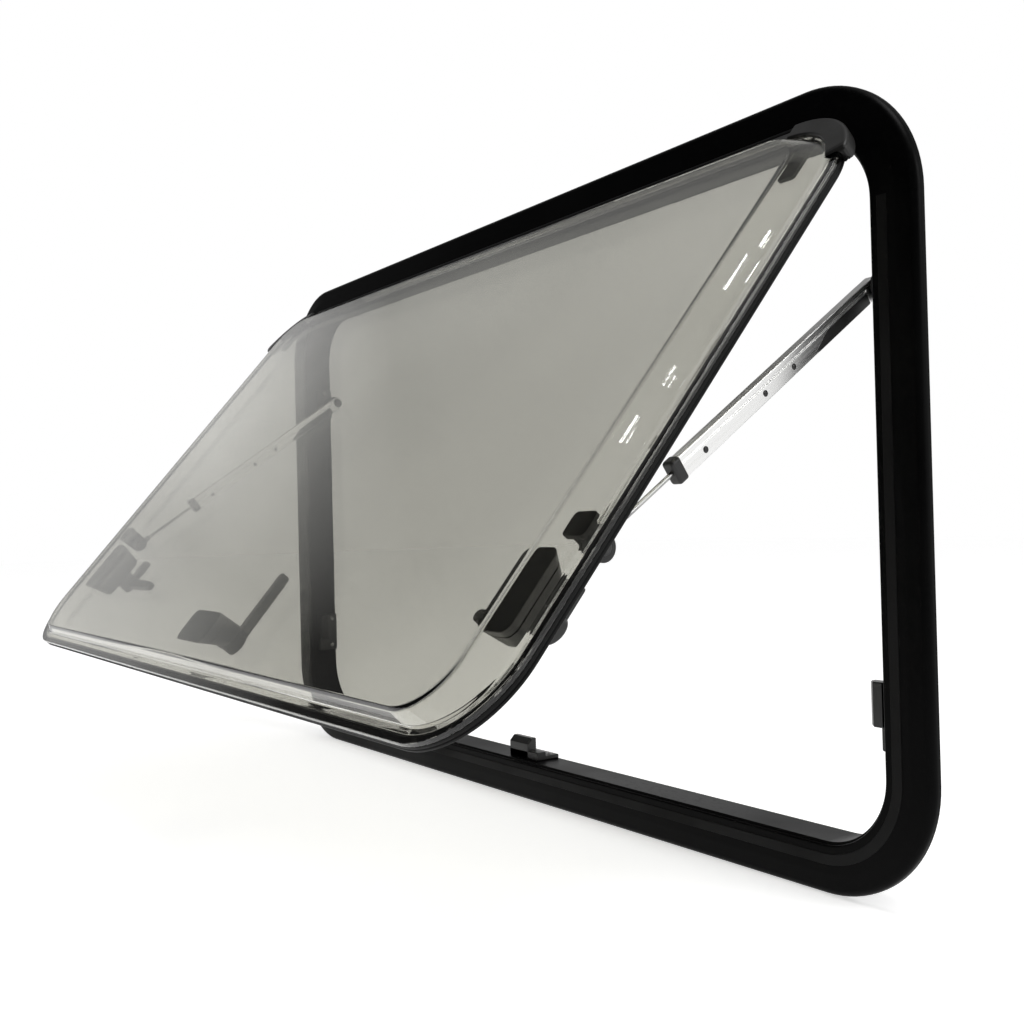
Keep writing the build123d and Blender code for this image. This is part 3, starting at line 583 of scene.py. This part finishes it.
for side, sign in SIDES:
    inward, outer = RIGHT * -sign, RIGHT * sign
    wall = RIGHT * sign * OPEN_WIDTH / 2
    plate_middle = wall + [0, SPIGOT_DEPTH - BRACKET_WIDTH / 2, pivot[2]]
    pin_foot = wall + pivot * (0, 1, 1)
    pin_place = plane(pin_foot, INWARD, inward)
    pin_head = plane(pin_foot + inward * pin_end, INWARD, inward)
    piece(f"frame_stay_bracket_{side}", [
        slab(plate_plan, 0, BRACKET_PLATE, 0.2, 0.8, plane(plate_middle, INWARD, inward)),
        slab(circle(BOSS_RADIUS, 40), BRACKET_PLATE - 0.3, boss_end, 0, 0.8, pin_place),
        slab(circle(PIN_RADIUS), boss_end - 1, pin_end + 0.5, 0, 0, pin_place),
        button(HEAD_RADIUS, HEAD_HEIGHT, pin_head),
    ], "frame", "black_moulding", [f"stay_bracket_{side}"])
    tops = [plane(plate_middle + [0, 0, row] + inward * BRACKET_PLATE, INWARD, inward)
            for row in BRACKET_SCREW_ROWS]
    screws(f"frame_bracket_screws_{side}", tops, "frame", BRACKET_SCREW_RADIUS)
    ear_x = sign * (STAY_X + EAR_NEAR)
    foot_middle = (ear_x + sign * EAR_THICK / 2, -PIN_DROP)
    foot_plan = rounded_rectangle(BRACKET_WIDTH, FOOT_LENGTH, 3.0, foot_middle, 8)
    ear_foot = pin_open * (0, 1, 1) + RIGHT * ear_x
    piece(f"sash_stay_bracket_{side}", [
        slab(foot_plan, INNER_BACK, INNER_BACK - BRACKET_PLATE, 0.2, 0.8, on_sash),
        slab(ear_plan, 0, EAR_THICK, 0.5, 0.5, plane(ear_foot, OUTWARD, outer)),
        button(HEAD_RADIUS, HEAD_HEIGHT, plane(ear_foot + outer * EAR_THICK, OUTWARD, outer)),
    ], "sash", "black_moulding", [f"sash_bracket_{side}"])

# %% [markdown]
# ## The latches
#
# Each latch has a housing on the inner pane that narrows towards the room, and a lever on it whose tongue
# turns behind a strike on the frame. They are black mouldings with generous radii. The housing is drawn as
# rings that slide from its broad front outline to its narrow back one, and the levers carry grip ribs.

# %% Housings
LATCH_INSET, LATCH_DROP, BASE_HEIGHT, BASE_CORNER = 44.5, 314.0, 18.0, 6.0
FRONT_WIDTH, FRONT_LENGTH, FRONT_SHIFT, BACK_WIDTH, BACK_LENGTH = 24.0, 46.0, 6.0, 16.0, 38.0
LATCHES = {"left": ((-SASH_WIDTH / 2 + LATCH_INSET, -LATCH_DROP), (-1, 0), -1),
           "right": ((SASH_WIDTH / 2 - LATCH_INSET, -LATCH_DROP), (1, 0), 1),
           "bottom": ((0, LATCH_INSET - SASH_DROP), (0, -1), -1)}
base_front = rounded_rectangle(FRONT_WIDTH, FRONT_LENGTH, BASE_CORNER, (FRONT_SHIFT, 0), 10)
base_back = rounded_rectangle(BACK_WIDTH, BACK_LENGTH, BASE_CORNER, (0, 0), 10)
HOUSING_EDGE = np.concatenate([[(0.3, 2), (0, 1.7), (0, -3.6), (0.5, -3.9), (0.5, -4.5), (0, -4.8)],
                               slab_edge(-5, -16, 0, 1.5, 8)])


def latch_plane(spot, edge):
    """Place function at a latch: u points at the sash edge that the latch serves."""
    origin = SASH_ORIGIN + spot[0] * RIGHT + spot[1] * UPWARD
    return plane(origin, edge[0] * RIGHT + edge[1] * UPWARD, OUTWARD)


def housing(place):
    """Rings between two outlines: ring k is front + s_k * (back - front) - inset_k * normals, s by height."""
    inset, height = HOUSING_EDGE.T
    share = (INNER_BACK - height) / BASE_HEIGHT
    flat = base_front[0] + share[:, None, None] * (base_back[0] - base_front[0])
    flat = flat - inset[:, None, None] * base_back[1]
    return skin(place(flat[..., 0], flat[..., 1], np.broadcast_to(height[:, None], flat.shape[:2])))


for name, (spot, edge, _) in LATCHES.items():
    piece(f"latch_housing_{name}", [housing(latch_plane(spot, edge))], "sash", "black_moulding",
          [f"latch_base_{name}"])

# %% Levers
LEVER_FRONT, HANDLE_FRONT, TONGUE_BACK, LEVER_BACK = -16.3, -22.0, -27.0, -28.0
LEVER_HUB, SPINDLE_RADIUS, SPINDLE_REACH, TONGUE_HALF, TONGUE_REACH = 8.0, 4.0, 9.6, 5.0, 24.0
RIB_COUNT, FIRST_RIB, RIB_PITCH = 6, 28.0, 4.0
HANDLE_PLAN = [(0, -4.5, 2), (0, 4.5, 2), (-56, 3.5, 3.4), (-56, -3.5, 3.4)]
RIB_PLAN = section_outline([(-0.7, -2.6, 0.5), (0.7, -2.6, 0.5), (0.7, 2.6, 0.5), (-0.7, 2.6, 0.5)], 4)
HUB_EDGE = [(0.5, LEVER_FRONT), (0, LEVER_FRONT - 0.5), (0, -18.6), (0.7, -19.1), (0.7, -20.6), (0, -21.1),
            (0, -26.5), (0.2, -27.1), (0.6, -27.6), (1.5, LEVER_BACK)]
for name, (spot, edge, hand) in LATCHES.items():
    at = latch_plane(spot, edge)
    tip = TONGUE_REACH * hand
    tongue = rounded_outline([(-TONGUE_HALF, 0), (TONGUE_HALF, 0), (TONGUE_HALF, tip), (-TONGUE_HALF, tip)],
                             (1, 1, 2, 2), 6)
    ribs = [slab((RIB_PLAN[0] - (FIRST_RIB + RIB_PITCH * k, 0), RIB_PLAN[1]),
                 LEVER_BACK + 0.5, LEVER_BACK - 0.4, 0, 0.3, at) for k in range(RIB_COUNT)]
    piece(f"latch_turn_lever_{name}", [
        swept(circle(LEVER_HUB, 48), HUB_EDGE, at),
        slab(section_outline(HANDLE_PLAN, 10), HANDLE_FRONT, LEVER_BACK, 0.8, 1.6, at, 7),
        slab(tongue, HANDLE_FRONT, TONGUE_BACK, 1.2, 0.6, at),
        slab(circle(SPINDLE_RADIUS), LEVER_FRONT - 1, LEVER_FRONT + SPINDLE_REACH, 0, 0.4, at),
    ] + ribs, f"lever_{name}", "black_moulding", [f"latch_lever_{name}"])

# %% Strikes and their screws
STRIKE_HALF, BLOCK_HALF, BLOCK_SHIFT, STRIKE_CHAMFER = 18.0, 12.0, 6.0, 0.6
STRIKE_DROP, BOTTOM_STRIKE_X, TAB_THICK = 120.0, 10.0, 3.0
STRIKE_SCREW_ROW, STRIKE_SCREWS, STRIKE_SCREW_RADIUS = 14.5, (-13, 13), 1.9
STRIKES = {"left": (RIGHT * -OPEN_WIDTH / 2 + [0, 0, -STRIKE_DROP], RIGHT, -1),
           "right": (RIGHT * OPEN_WIDTH / 2 + [0, 0, -STRIKE_DROP], -RIGHT, 1),
           "bottom": (np.array([BOTTOM_STRIKE_X, 0, -OPEN_HEIGHT / 2]), np.array([0, 0, 1.0]), -1)}
BLOCK_SECTION = section_outline([(0, 0, 0.4), (11, 0, 1.2), (15, 4, 1.6), (15, 8, 0.8), (0, 8, 0.4)], 6)
TAB_SECTION = section_outline([(0, 0, 0.4), (6, 0, 0.8), (6, 8, 0.6), (TAB_THICK, 8, 0.8),
                               (TAB_THICK, 20, 0.8), (0, 20, 0.4)], 6)
block_run = np.array(pulled(BLOCK_HALF, STRIKE_CHAMFER)) - (0, BLOCK_SHIFT)
tab_run = np.array(pulled(STRIKE_HALF, STRIKE_CHAMFER))
for name, (seat, rise, hand) in STRIKES.items():
    across = np.cross(rise, INWARD)
    seated = plane(seat, rise, across)
    piece(f"latch_strike_{name}", [
        swept(BLOCK_SECTION, block_run * (1, hand), seated),
        swept(TAB_SECTION, tab_run * (1, hand), seated),
    ], "frame", "black_moulding", [f"strike_{name}"])
    tops = [plane(seat + rise * TAB_THICK + INWARD * STRIKE_SCREW_ROW + across * shift, across, rise)
            for shift in STRIKE_SCREWS]
    screws(f"strike_screws_{name}", tops, "frame", STRIKE_SCREW_RADIUS)

# %% [markdown]
# ## Finishes
#
# Every finish is a small node tree on Object coordinates. Two effects are shared: handling marks, which
# are broad soft smudges with finer flecks in them, and a moulded grain. Each is built once as a node group
# and used by several finishes with its own scale.

# %% Shared effects
NOISE_ROUGHNESS, GRAIN_SPECKLE = 0.55, 420.0
SMUDGE_RANGE, FLECK_RANGE, FLECK_STRENGTH = (0.42, 0.66), (0.5, 0.72), 0.5


def new_group(name, inputs, outputs):
    """Empty shader node group with named float inputs and outputs, and a Vector input."""
    group = bpy.data.node_groups.new(name, "ShaderNodeTree")
    group.interface.new_socket("Vector", in_out="INPUT", socket_type="NodeSocketVector")
    for label, value in inputs.items():
        group.interface.new_socket(label, in_out="INPUT", socket_type="NodeSocketFloat").default_value = value
    for label in outputs:
        group.interface.new_socket(label, in_out="OUTPUT", socket_type="NodeSocketFloat")
    return group, group.nodes.new("NodeGroupInput"), group.nodes.new("NodeGroupOutput")


def feed(tree, socket, value):
    """Give a socket a plain number, or link another socket to it."""
    if isinstance(value, (int, float)):
        socket.default_value = value
    else:
        tree.links.new(value, socket)


def add_noise(tree, vector, scale, detail):
    """Noise texture on a vector, returned as its factor socket."""
    noise = tree.nodes.new("ShaderNodeTexNoise")
    tree.links.new(vector, noise.inputs["Vector"])
    feed(tree, noise.inputs["Scale"], scale)
    noise.inputs["Detail"].default_value = detail
    noise.inputs["Roughness"].default_value = NOISE_ROUGHNESS
    return noise.outputs["Fac"]


def add_range(tree, value, low, high, to_low, to_high):
    """Map Range with clamping, returned as its result socket."""
    node = tree.nodes.new("ShaderNodeMapRange")
    tree.links.new(value, node.inputs["Value"])
    for label, amount in (("From Min", low), ("From Max", high), ("To Min", to_low), ("To Max", to_high)):
        node.inputs[label].default_value = amount
    return node.outputs["Result"]


def add_math(tree, operation, first, second):
    """Math node on two sockets or numbers, returned as its value socket."""
    node = tree.nodes.new("ShaderNodeMath")
    node.operation = operation
    feed(tree, node.inputs[0], first)
    feed(tree, node.inputs[1], second)
    return node.outputs["Value"]


mark_scales = {"Scale": 9.0, "Fleck Scale": 240.0}
marks_group, marks_in, marks_out = new_group("handling_marks", mark_scales, ["Marks"])
where, coarse, fine = (marks_in.outputs[label] for label in ("Vector", "Scale", "Fleck Scale"))
smudge = add_range(marks_group, add_noise(marks_group, where, coarse, 4), *SMUDGE_RANGE, 0, 1)
fleck = add_range(marks_group, add_noise(marks_group, where, fine, 2), *FLECK_RANGE, 0, FLECK_STRENGTH)
marks_group.links.new(add_math(marks_group, "MAXIMUM", smudge, fleck), marks_out.inputs["Marks"])

grain_group, grain_in, grain_out = new_group("moulded_grain", {"Scale": 900.0}, ["Height"])
pebbles = grain_group.nodes.new("ShaderNodeTexVoronoi")
pebbles.feature = "SMOOTH_F1"
for label in ("Vector", "Scale"):
    grain_group.links.new(grain_in.outputs[label], pebbles.inputs[label])
speckle = add_noise(grain_group, grain_in.outputs["Vector"], GRAIN_SPECKLE, 3)
height = add_math(grain_group, "ADD", pebbles.outputs["Distance"], speckle)
grain_group.links.new(height, grain_out.inputs["Height"])
print("shared effects:", marks_group.name, grain_group.name)

# %% A base for every finish


def new_finish(name, **sockets):
    """Material with a Principled BSDF whose plain values are set on its own sockets."""
    material = bpy.data.materials.new(name)
    material.use_nodes = True
    tree = material.node_tree
    shader = tree.nodes["Principled BSDF"]
    for label, value in sockets.items():
        shader.inputs[label.replace("_", " ")].default_value = value
    coordinates = tree.nodes.new("ShaderNodeTexCoord")
    return material, tree, shader, coordinates.outputs["Object"]


def use_group(tree, group, vector, **values):
    """Group node fed with a vector and plain values, returned as its first output."""
    node = tree.nodes.new("ShaderNodeGroup")
    node.node_tree = group
    tree.links.new(vector, node.inputs["Vector"])
    for label, value in values.items():
        node.inputs[label.replace("_", " ")].default_value = value
    return node.outputs[0]


def vary_colour(tree, shader, mask, dark, light):
    """Base colour that goes from one colour to another with a mask."""
    mix = tree.nodes.new("ShaderNodeMix")
    mix.data_type = "RGBA"
    tree.links.new(mask, mix.inputs["Factor"])
    mix.inputs["A"].default_value = (*dark, 1)
    mix.inputs["B"].default_value = (*light, 1)
    tree.links.new(mix.outputs["Result"], shader.inputs["Base Color"])


def vary_roughness(tree, shader, mask, roughness, low=0, high=1):
    """Roughness that goes from one value to another as a mask goes from low to high."""
    tree.links.new(add_range(tree, mask, low, high, *roughness), shader.inputs["Roughness"])


def add_bump(tree, shader, height, distance):
    """Bump from a height, over a distance in metres, into the shader's normal."""
    bump = tree.nodes.new("ShaderNodeBump")
    bump.inputs["Distance"].default_value = distance
    tree.links.new(height, bump.inputs["Height"])
    tree.links.new(bump.outputs["Normal"], shader.inputs["Normal"])


def stretched(tree, vector, scale, turn=(0, 0, 0)):
    """Coordinates turned and scaled, so that a noise becomes streaks along one direction."""
    mapping = tree.nodes.new("ShaderNodeMapping")
    tree.links.new(vector, mapping.inputs["Vector"])
    mapping.inputs["Rotation"].default_value = turn
    mapping.inputs["Scale"].default_value = scale
    return mapping.outputs["Vector"]


def marked_finish(name, scales, dark, light, roughness, **sockets):
    """Finish whose colour and roughness follow handling marks of two scales."""
    material, tree, shader, place = new_finish(name, **sockets)
    marks = use_group(tree, marks_group, place, Scale=scales[0], Fleck_Scale=scales[1])
    vary_colour(tree, shader, marks, dark, light)
    vary_roughness(tree, shader, marks, roughness)
    return material, tree, shader, place


# %% [markdown]
# The black finishes differ in how they scatter light. The frame has a low sheen and a faint ripple, the
# fittings and the end caps have a fine grain, and the rubber is dull with a dusty bloom. All four are
# nearly black, so roughness and bump carry the difference.

# %% Black finishes


def grained_finish(name, specular, scales, dark, light, roughness, grain, depth):
    """Marked finish with a moulded grain of a scale, and a depth in metres."""
    material, tree, shader, place = marked_finish(name, scales, dark, light, roughness,
                                                  Specular_IOR_Level=specular)
    add_bump(tree, shader, use_group(tree, grain_group, place, Scale=grain), depth)
    return material


frame_black, tree, shader, place = marked_finish(
    "frame_gloss_black", (7.0, 320.0), (0.0010, 0.0010, 0.0011), (0.0026, 0.0026, 0.0026), (0.36, 0.48),
    Specular_IOR_Level=0.05)
add_bump(tree, shader, add_noise(tree, place, 60.0, 2), 0.00002)
moulding_black = grained_finish(
    "fitting_satin_black", 0.45, (26.0, 500.0), (0.0040, 0.0040, 0.0040), (0.0100, 0.0100, 0.0096),
    (0.30, 0.46), 3500.0, 0.00002)
cap_grey = grained_finish(
    "cap_dark_grey", 0.3, (30.0, 420.0), (0.006, 0.006, 0.0057), (0.012, 0.0117, 0.011),
    (0.30, 0.44), 3000.0, 0.00002)
rubber = grained_finish(
    "seal_dull_rubber", 0.16, (18.0, 700.0), (0.0014, 0.0014, 0.0014), (0.0046, 0.0045, 0.0043),
    (0.52, 0.72), 2200.0, 0.00003)
print("black finishes made")

# %% [markdown]
# Metal is told by its streaks. Extrusions carry fine lines along their length, so the noise is stretched
# along X for the hinge and along the stay for the bars.

# %% Metal finishes
STREAK_LOW, STREAK_HIGH = 0.3, 0.7
stay_tilt = math.atan2(ALONG[2], ALONG[1])


def streaked_finish(name, metallic, turn, scale, dark, light, roughness, depth):
    """Metal whose colour, roughness and fine relief follow noise stretched along one direction."""
    material, tree, shader, place = new_finish(name, Metallic=metallic)
    turned = stretched(tree, place, (1, 1, 1), turn)
    streaks = add_noise(tree, stretched(tree, turned, scale), 1.0, 4)
    vary_colour(tree, shader, streaks, dark, light)
    vary_roughness(tree, shader, streaks, roughness, STREAK_LOW, STREAK_HIGH)
    add_bump(tree, shader, streaks, depth)
    return material


hinge_metal = streaked_finish(
    "hinge_dark_anodised", 0.7, (0, 0, 0), (3, 900, 900), (0.012, 0.012, 0.012), (0.036, 0.036, 0.035),
    (0.28, 0.42), 0.000003)
stay_metal = streaked_finish(
    "stay_bright_aluminium", 1.0, (-stay_tilt, 0, 0), (700, 4, 700), (0.80, 0.80, 0.79), (0.90, 0.90, 0.89),
    (0.24, 0.34), 0.000002)
rod_steel, tree, shader, place = marked_finish(
    "rod_dark_steel", (60.0, 900.0), (0.24, 0.24, 0.24), (0.42, 0.42, 0.41), (0.18, 0.36), Metallic=1.0)
add_bump(tree, shader, add_noise(tree, place, 1500.0, 2), 0.00002)
print("metal finishes made")

# %% [markdown]
# The acrylic is clear but smoked: light loses some strength each time it passes. Transmission with the
# right index does the bending and the mirror. Lamps must reach what is behind a pane, so shadow rays see
# a Transparent shader instead. A very low ripple bends the reflections, faint smears dull them, and fine
# drawn lines on the side bevels break up the glints.

# %% Smoked acrylic
BEVEL_EDGES, LINE_HEIGHT, SMEAR_SHADE = (0.316, 0.328), 0.022, 0.96


def acrylic(name, tint, ripple):
    """Clear tinted sheet: Principled transmission, mixed with Transparent for shadow rays."""
    smeared = tuple(SMEAR_SHADE * channel for channel in tint)
    material, tree, shader, place = marked_finish(
        name, (5.0, 160.0), tint, smeared, (0.0, 0.006), Transmission_Weight=1.0, IOR=1.49)
    parts = tree.nodes.new("ShaderNodeSeparateXYZ")
    tree.links.new(place, parts.inputs["Vector"])
    bevels = add_range(tree, add_math(tree, "ABSOLUTE", parts.outputs["X"], 0), *BEVEL_EDGES, 0, LINE_HEIGHT)
    drawn = add_math(tree, "MULTIPLY", bevels, add_noise(tree, stretched(tree, place, (700, 6, 6)), 1.0, 2))
    add_bump(tree, shader, add_math(tree, "ADD", add_noise(tree, place, 9.0, 1), drawn), ripple)
    clear = tree.nodes.new("ShaderNodeBsdfTransparent")
    clear.inputs["Color"].default_value = (*tint, 1)
    path = tree.nodes.new("ShaderNodeLightPath")
    mix = tree.nodes.new("ShaderNodeMixShader")
    for socket, source in zip(mix.inputs, (path.outputs["Is Shadow Ray"], shader.outputs["BSDF"],
                                           clear.outputs["BSDF"])):
        tree.links.new(source, socket)
    tree.links.new(mix.outputs["Shader"], tree.nodes["Material Output"].inputs["Surface"])
    return material


acrylic_outer = acrylic("acrylic_smoked_outer", (0.715, 0.71, 0.668), 0.00012)
acrylic_inner = acrylic("acrylic_smoked_inner", (0.735, 0.73, 0.688), 0.00006)
print("acrylic finishes made")

# %% [markdown]
# Each piece takes the finish of its material slot. The two panes and the caps have finishes of their own.

# %% Give every piece its finish
FINISHES = {"frame_black": frame_black, "seal_rubber": rubber, "hinge_metal": hinge_metal,
            "black_moulding": moulding_black, "stay_metal": stay_metal, "rod_steel": rod_steel,
            "smoked_acrylic": acrylic_outer}
OWN_FINISHES = {"flat_inner_pane": acrylic_inner, "hinge_end_cap_left": cap_grey,
                "hinge_end_cap_right": cap_grey}
dressed = [thing for thing in bpy.context.scene.objects if thing.type == "MESH" and "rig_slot" in thing]
for thing in dressed:
    finish = OWN_FINISHES.get(thing.name, FINISHES.get(thing["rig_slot"]))
    thing.data.materials.clear()
    thing.data.materials.append(finish)
print("pieces dressed:", len(dressed))

# %% [markdown]
# ## Studio
#
# The window stands on a pale floor in front of white paper, which the camera, the panes and the metal all
# show. The ceiling and the side of the room towards the viewer are dimmer where they are mirrored, so that
# the black frame stays black. Two soft banks of light and a few thin strips hang above.

# %% Floor and backdrop light
FLOOR_LEFT, FLOOR_RIGHT, FLOOR_FRONT, FLOOR_BACK, floor_z = -9.0, 1.6, -1.0, 9.0, cad_low.z
FLOOR_GLOW, ROOM_LIGHT, VIEWER_SIDE, CEILING, SIDE_PAPER = 0.55, 0.55, 0.07, 0.30, 0.6


def ray_kinds(tree):
    """Sockets that are 1 for camera rays, for mirrored or refracted rays, and for refracted rays alone."""
    path = tree.nodes.new("ShaderNodeLightPath")
    refracted = path.outputs["Is Transmission Ray"]
    mirrored = add_math(tree, "MAXIMUM", path.outputs["Is Glossy Ray"], refracted)
    return path.outputs["Is Camera Ray"], mirrored, refracted


def add_mix(tree, factor, first, second):
    """Mix of two numbers or sockets by a factor, returned as its result socket."""
    node = tree.nodes.new("ShaderNodeMix")
    tree.links.new(factor, node.inputs["Factor"])
    feed(tree, node.inputs["A"], first)
    feed(tree, node.inputs["B"], second)
    return node.outputs["Result"]


floor_corners = [(FLOOR_LEFT, FLOOR_FRONT), (FLOOR_RIGHT, FLOOR_FRONT), (FLOOR_RIGHT, FLOOR_BACK),
                 (FLOOR_LEFT, FLOOR_BACK)]
floor_mesh = bpy.data.meshes.new("studio_floor")
floor_mesh.from_pydata([(x, y, floor_z) for x, y in floor_corners], [], [(0, 1, 2, 3)])
floor = bpy.data.objects.new("studio_floor", floor_mesh)
bpy.context.collection.objects.link(floor)
floor_paper, tree, shader, place = new_finish("studio_white_floor", Roughness=0.9, Specular_IOR_Level=0.1)
vary_colour(tree, shader, add_noise(tree, place, 3.0, 2), (0.80, 0.80, 0.80), (0.83, 0.83, 0.83))
on_camera, mirrored, _ = ray_kinds(tree)
seen = add_math(tree, "MAXIMUM", on_camera, mirrored)
shader.inputs["Emission Color"].default_value = (1, 1, 1, 1)
tree.links.new(add_math(tree, "MULTIPLY", seen, FLOOR_GLOW), shader.inputs["Emission Strength"])
floor_mesh.materials.append(floor_paper)
print("floor at", round(floor_z, 3), "m")

# %% Backdrop light
world = bpy.data.worlds.new("studio_world")
bpy.context.scene.world = world
world.use_nodes = True
tree = world.node_tree
background = tree.nodes["Background"]
direction = tree.nodes.new("ShaderNodeTexCoord").outputs["Generated"]
parts = tree.nodes.new("ShaderNodeSeparateXYZ")
tree.links.new(direction, parts.inputs["Vector"])
east, back, above = parts.outputs
side_paper = add_range(tree, east, -0.96, -0.90, SIDE_PAPER, 0)
back_paper = add_math(tree, "MULTIPLY", add_range(tree, back, -0.17, 0.10, VIEWER_SIDE, 1.0),
                      add_range(tree, above, 0.35, 0.50, 1.0, CEILING))
paper = add_math(tree, "MAXIMUM", back_paper, side_paper)
on_camera, mirrored, refracted = ray_kinds(tree)
low_glass = add_math(tree, "MULTIPLY", refracted, add_range(tree, above, 0.2, 0.3, 1, 0))
room = add_math(tree, "MAXIMUM", paper, low_glass)
shown = add_mix(tree, on_camera, add_mix(tree, mirrored, ROOM_LIGHT, room), 1.0)
tree.links.new(shown, background.inputs["Strength"])
background.inputs["Color"].default_value = (1, 1, 1, 1)
print("backdrop:", world.name)

# %% Soft lamps


def soft_lamp(name, place, target, size, power, along=(0.0, 1.0, 0.0)):
    """Oblong area lamp facing a target, with its first side along a direction; metres and watts."""
    data = bpy.data.lights.new(name, "AREA")
    data.shape = "RECTANGLE"
    data.size, data.size_y = size
    data.energy = power
    lamp = bpy.data.objects.new(name, data)
    away = np.array(place, float) - np.array(target, float)
    back = away / np.linalg.norm(away)
    side = np.asarray(along) - np.dot(along, back) * back
    side /= np.linalg.norm(side)
    lamp.matrix_world = world_matrix(side, np.cross(back, side), back, place)
    bpy.context.collection.objects.link(lamp)


soft_lamp("overhead_bank", (0.9, -0.1, 1.9), (0, 0, 0), (0.9, 0.9), 16)
soft_lamp("side_bank", (1.9, 0.5, 0.9), (0.3, 0, 0), (0.7, 0.7), 8)
GLINTS = [(-0.305, -0.38, 1.99, 0.09), (-0.27, -0.30, 2.02, 0.04), (-0.265, -0.37, 1.985, 0.05),
          (-0.35, -0.62, 1.88, 0.05), (-0.34, -0.63, 1.875, 0.03),
          (-0.38, -0.74, 1.80, 0.07), (-0.37, -0.75, 1.795, 0.04)]
GLINT_TARGET, GLINT_WIDTH, WATTS_PER_METRE = (0.3, -0.1, 0.1), 0.002, 0.2
for number, (*spot, length) in enumerate(GLINTS):
    soft_lamp(f"glint_{number}", spot, GLINT_TARGET, (length, GLINT_WIDTH), WATTS_PER_METRE * length, UPWARD)

# %% [markdown]
# ## Finish
#
# Colours are shown as they are written.

# %% Show colours as they are written
bpy.context.scene.view_settings.view_transform = "Standard"
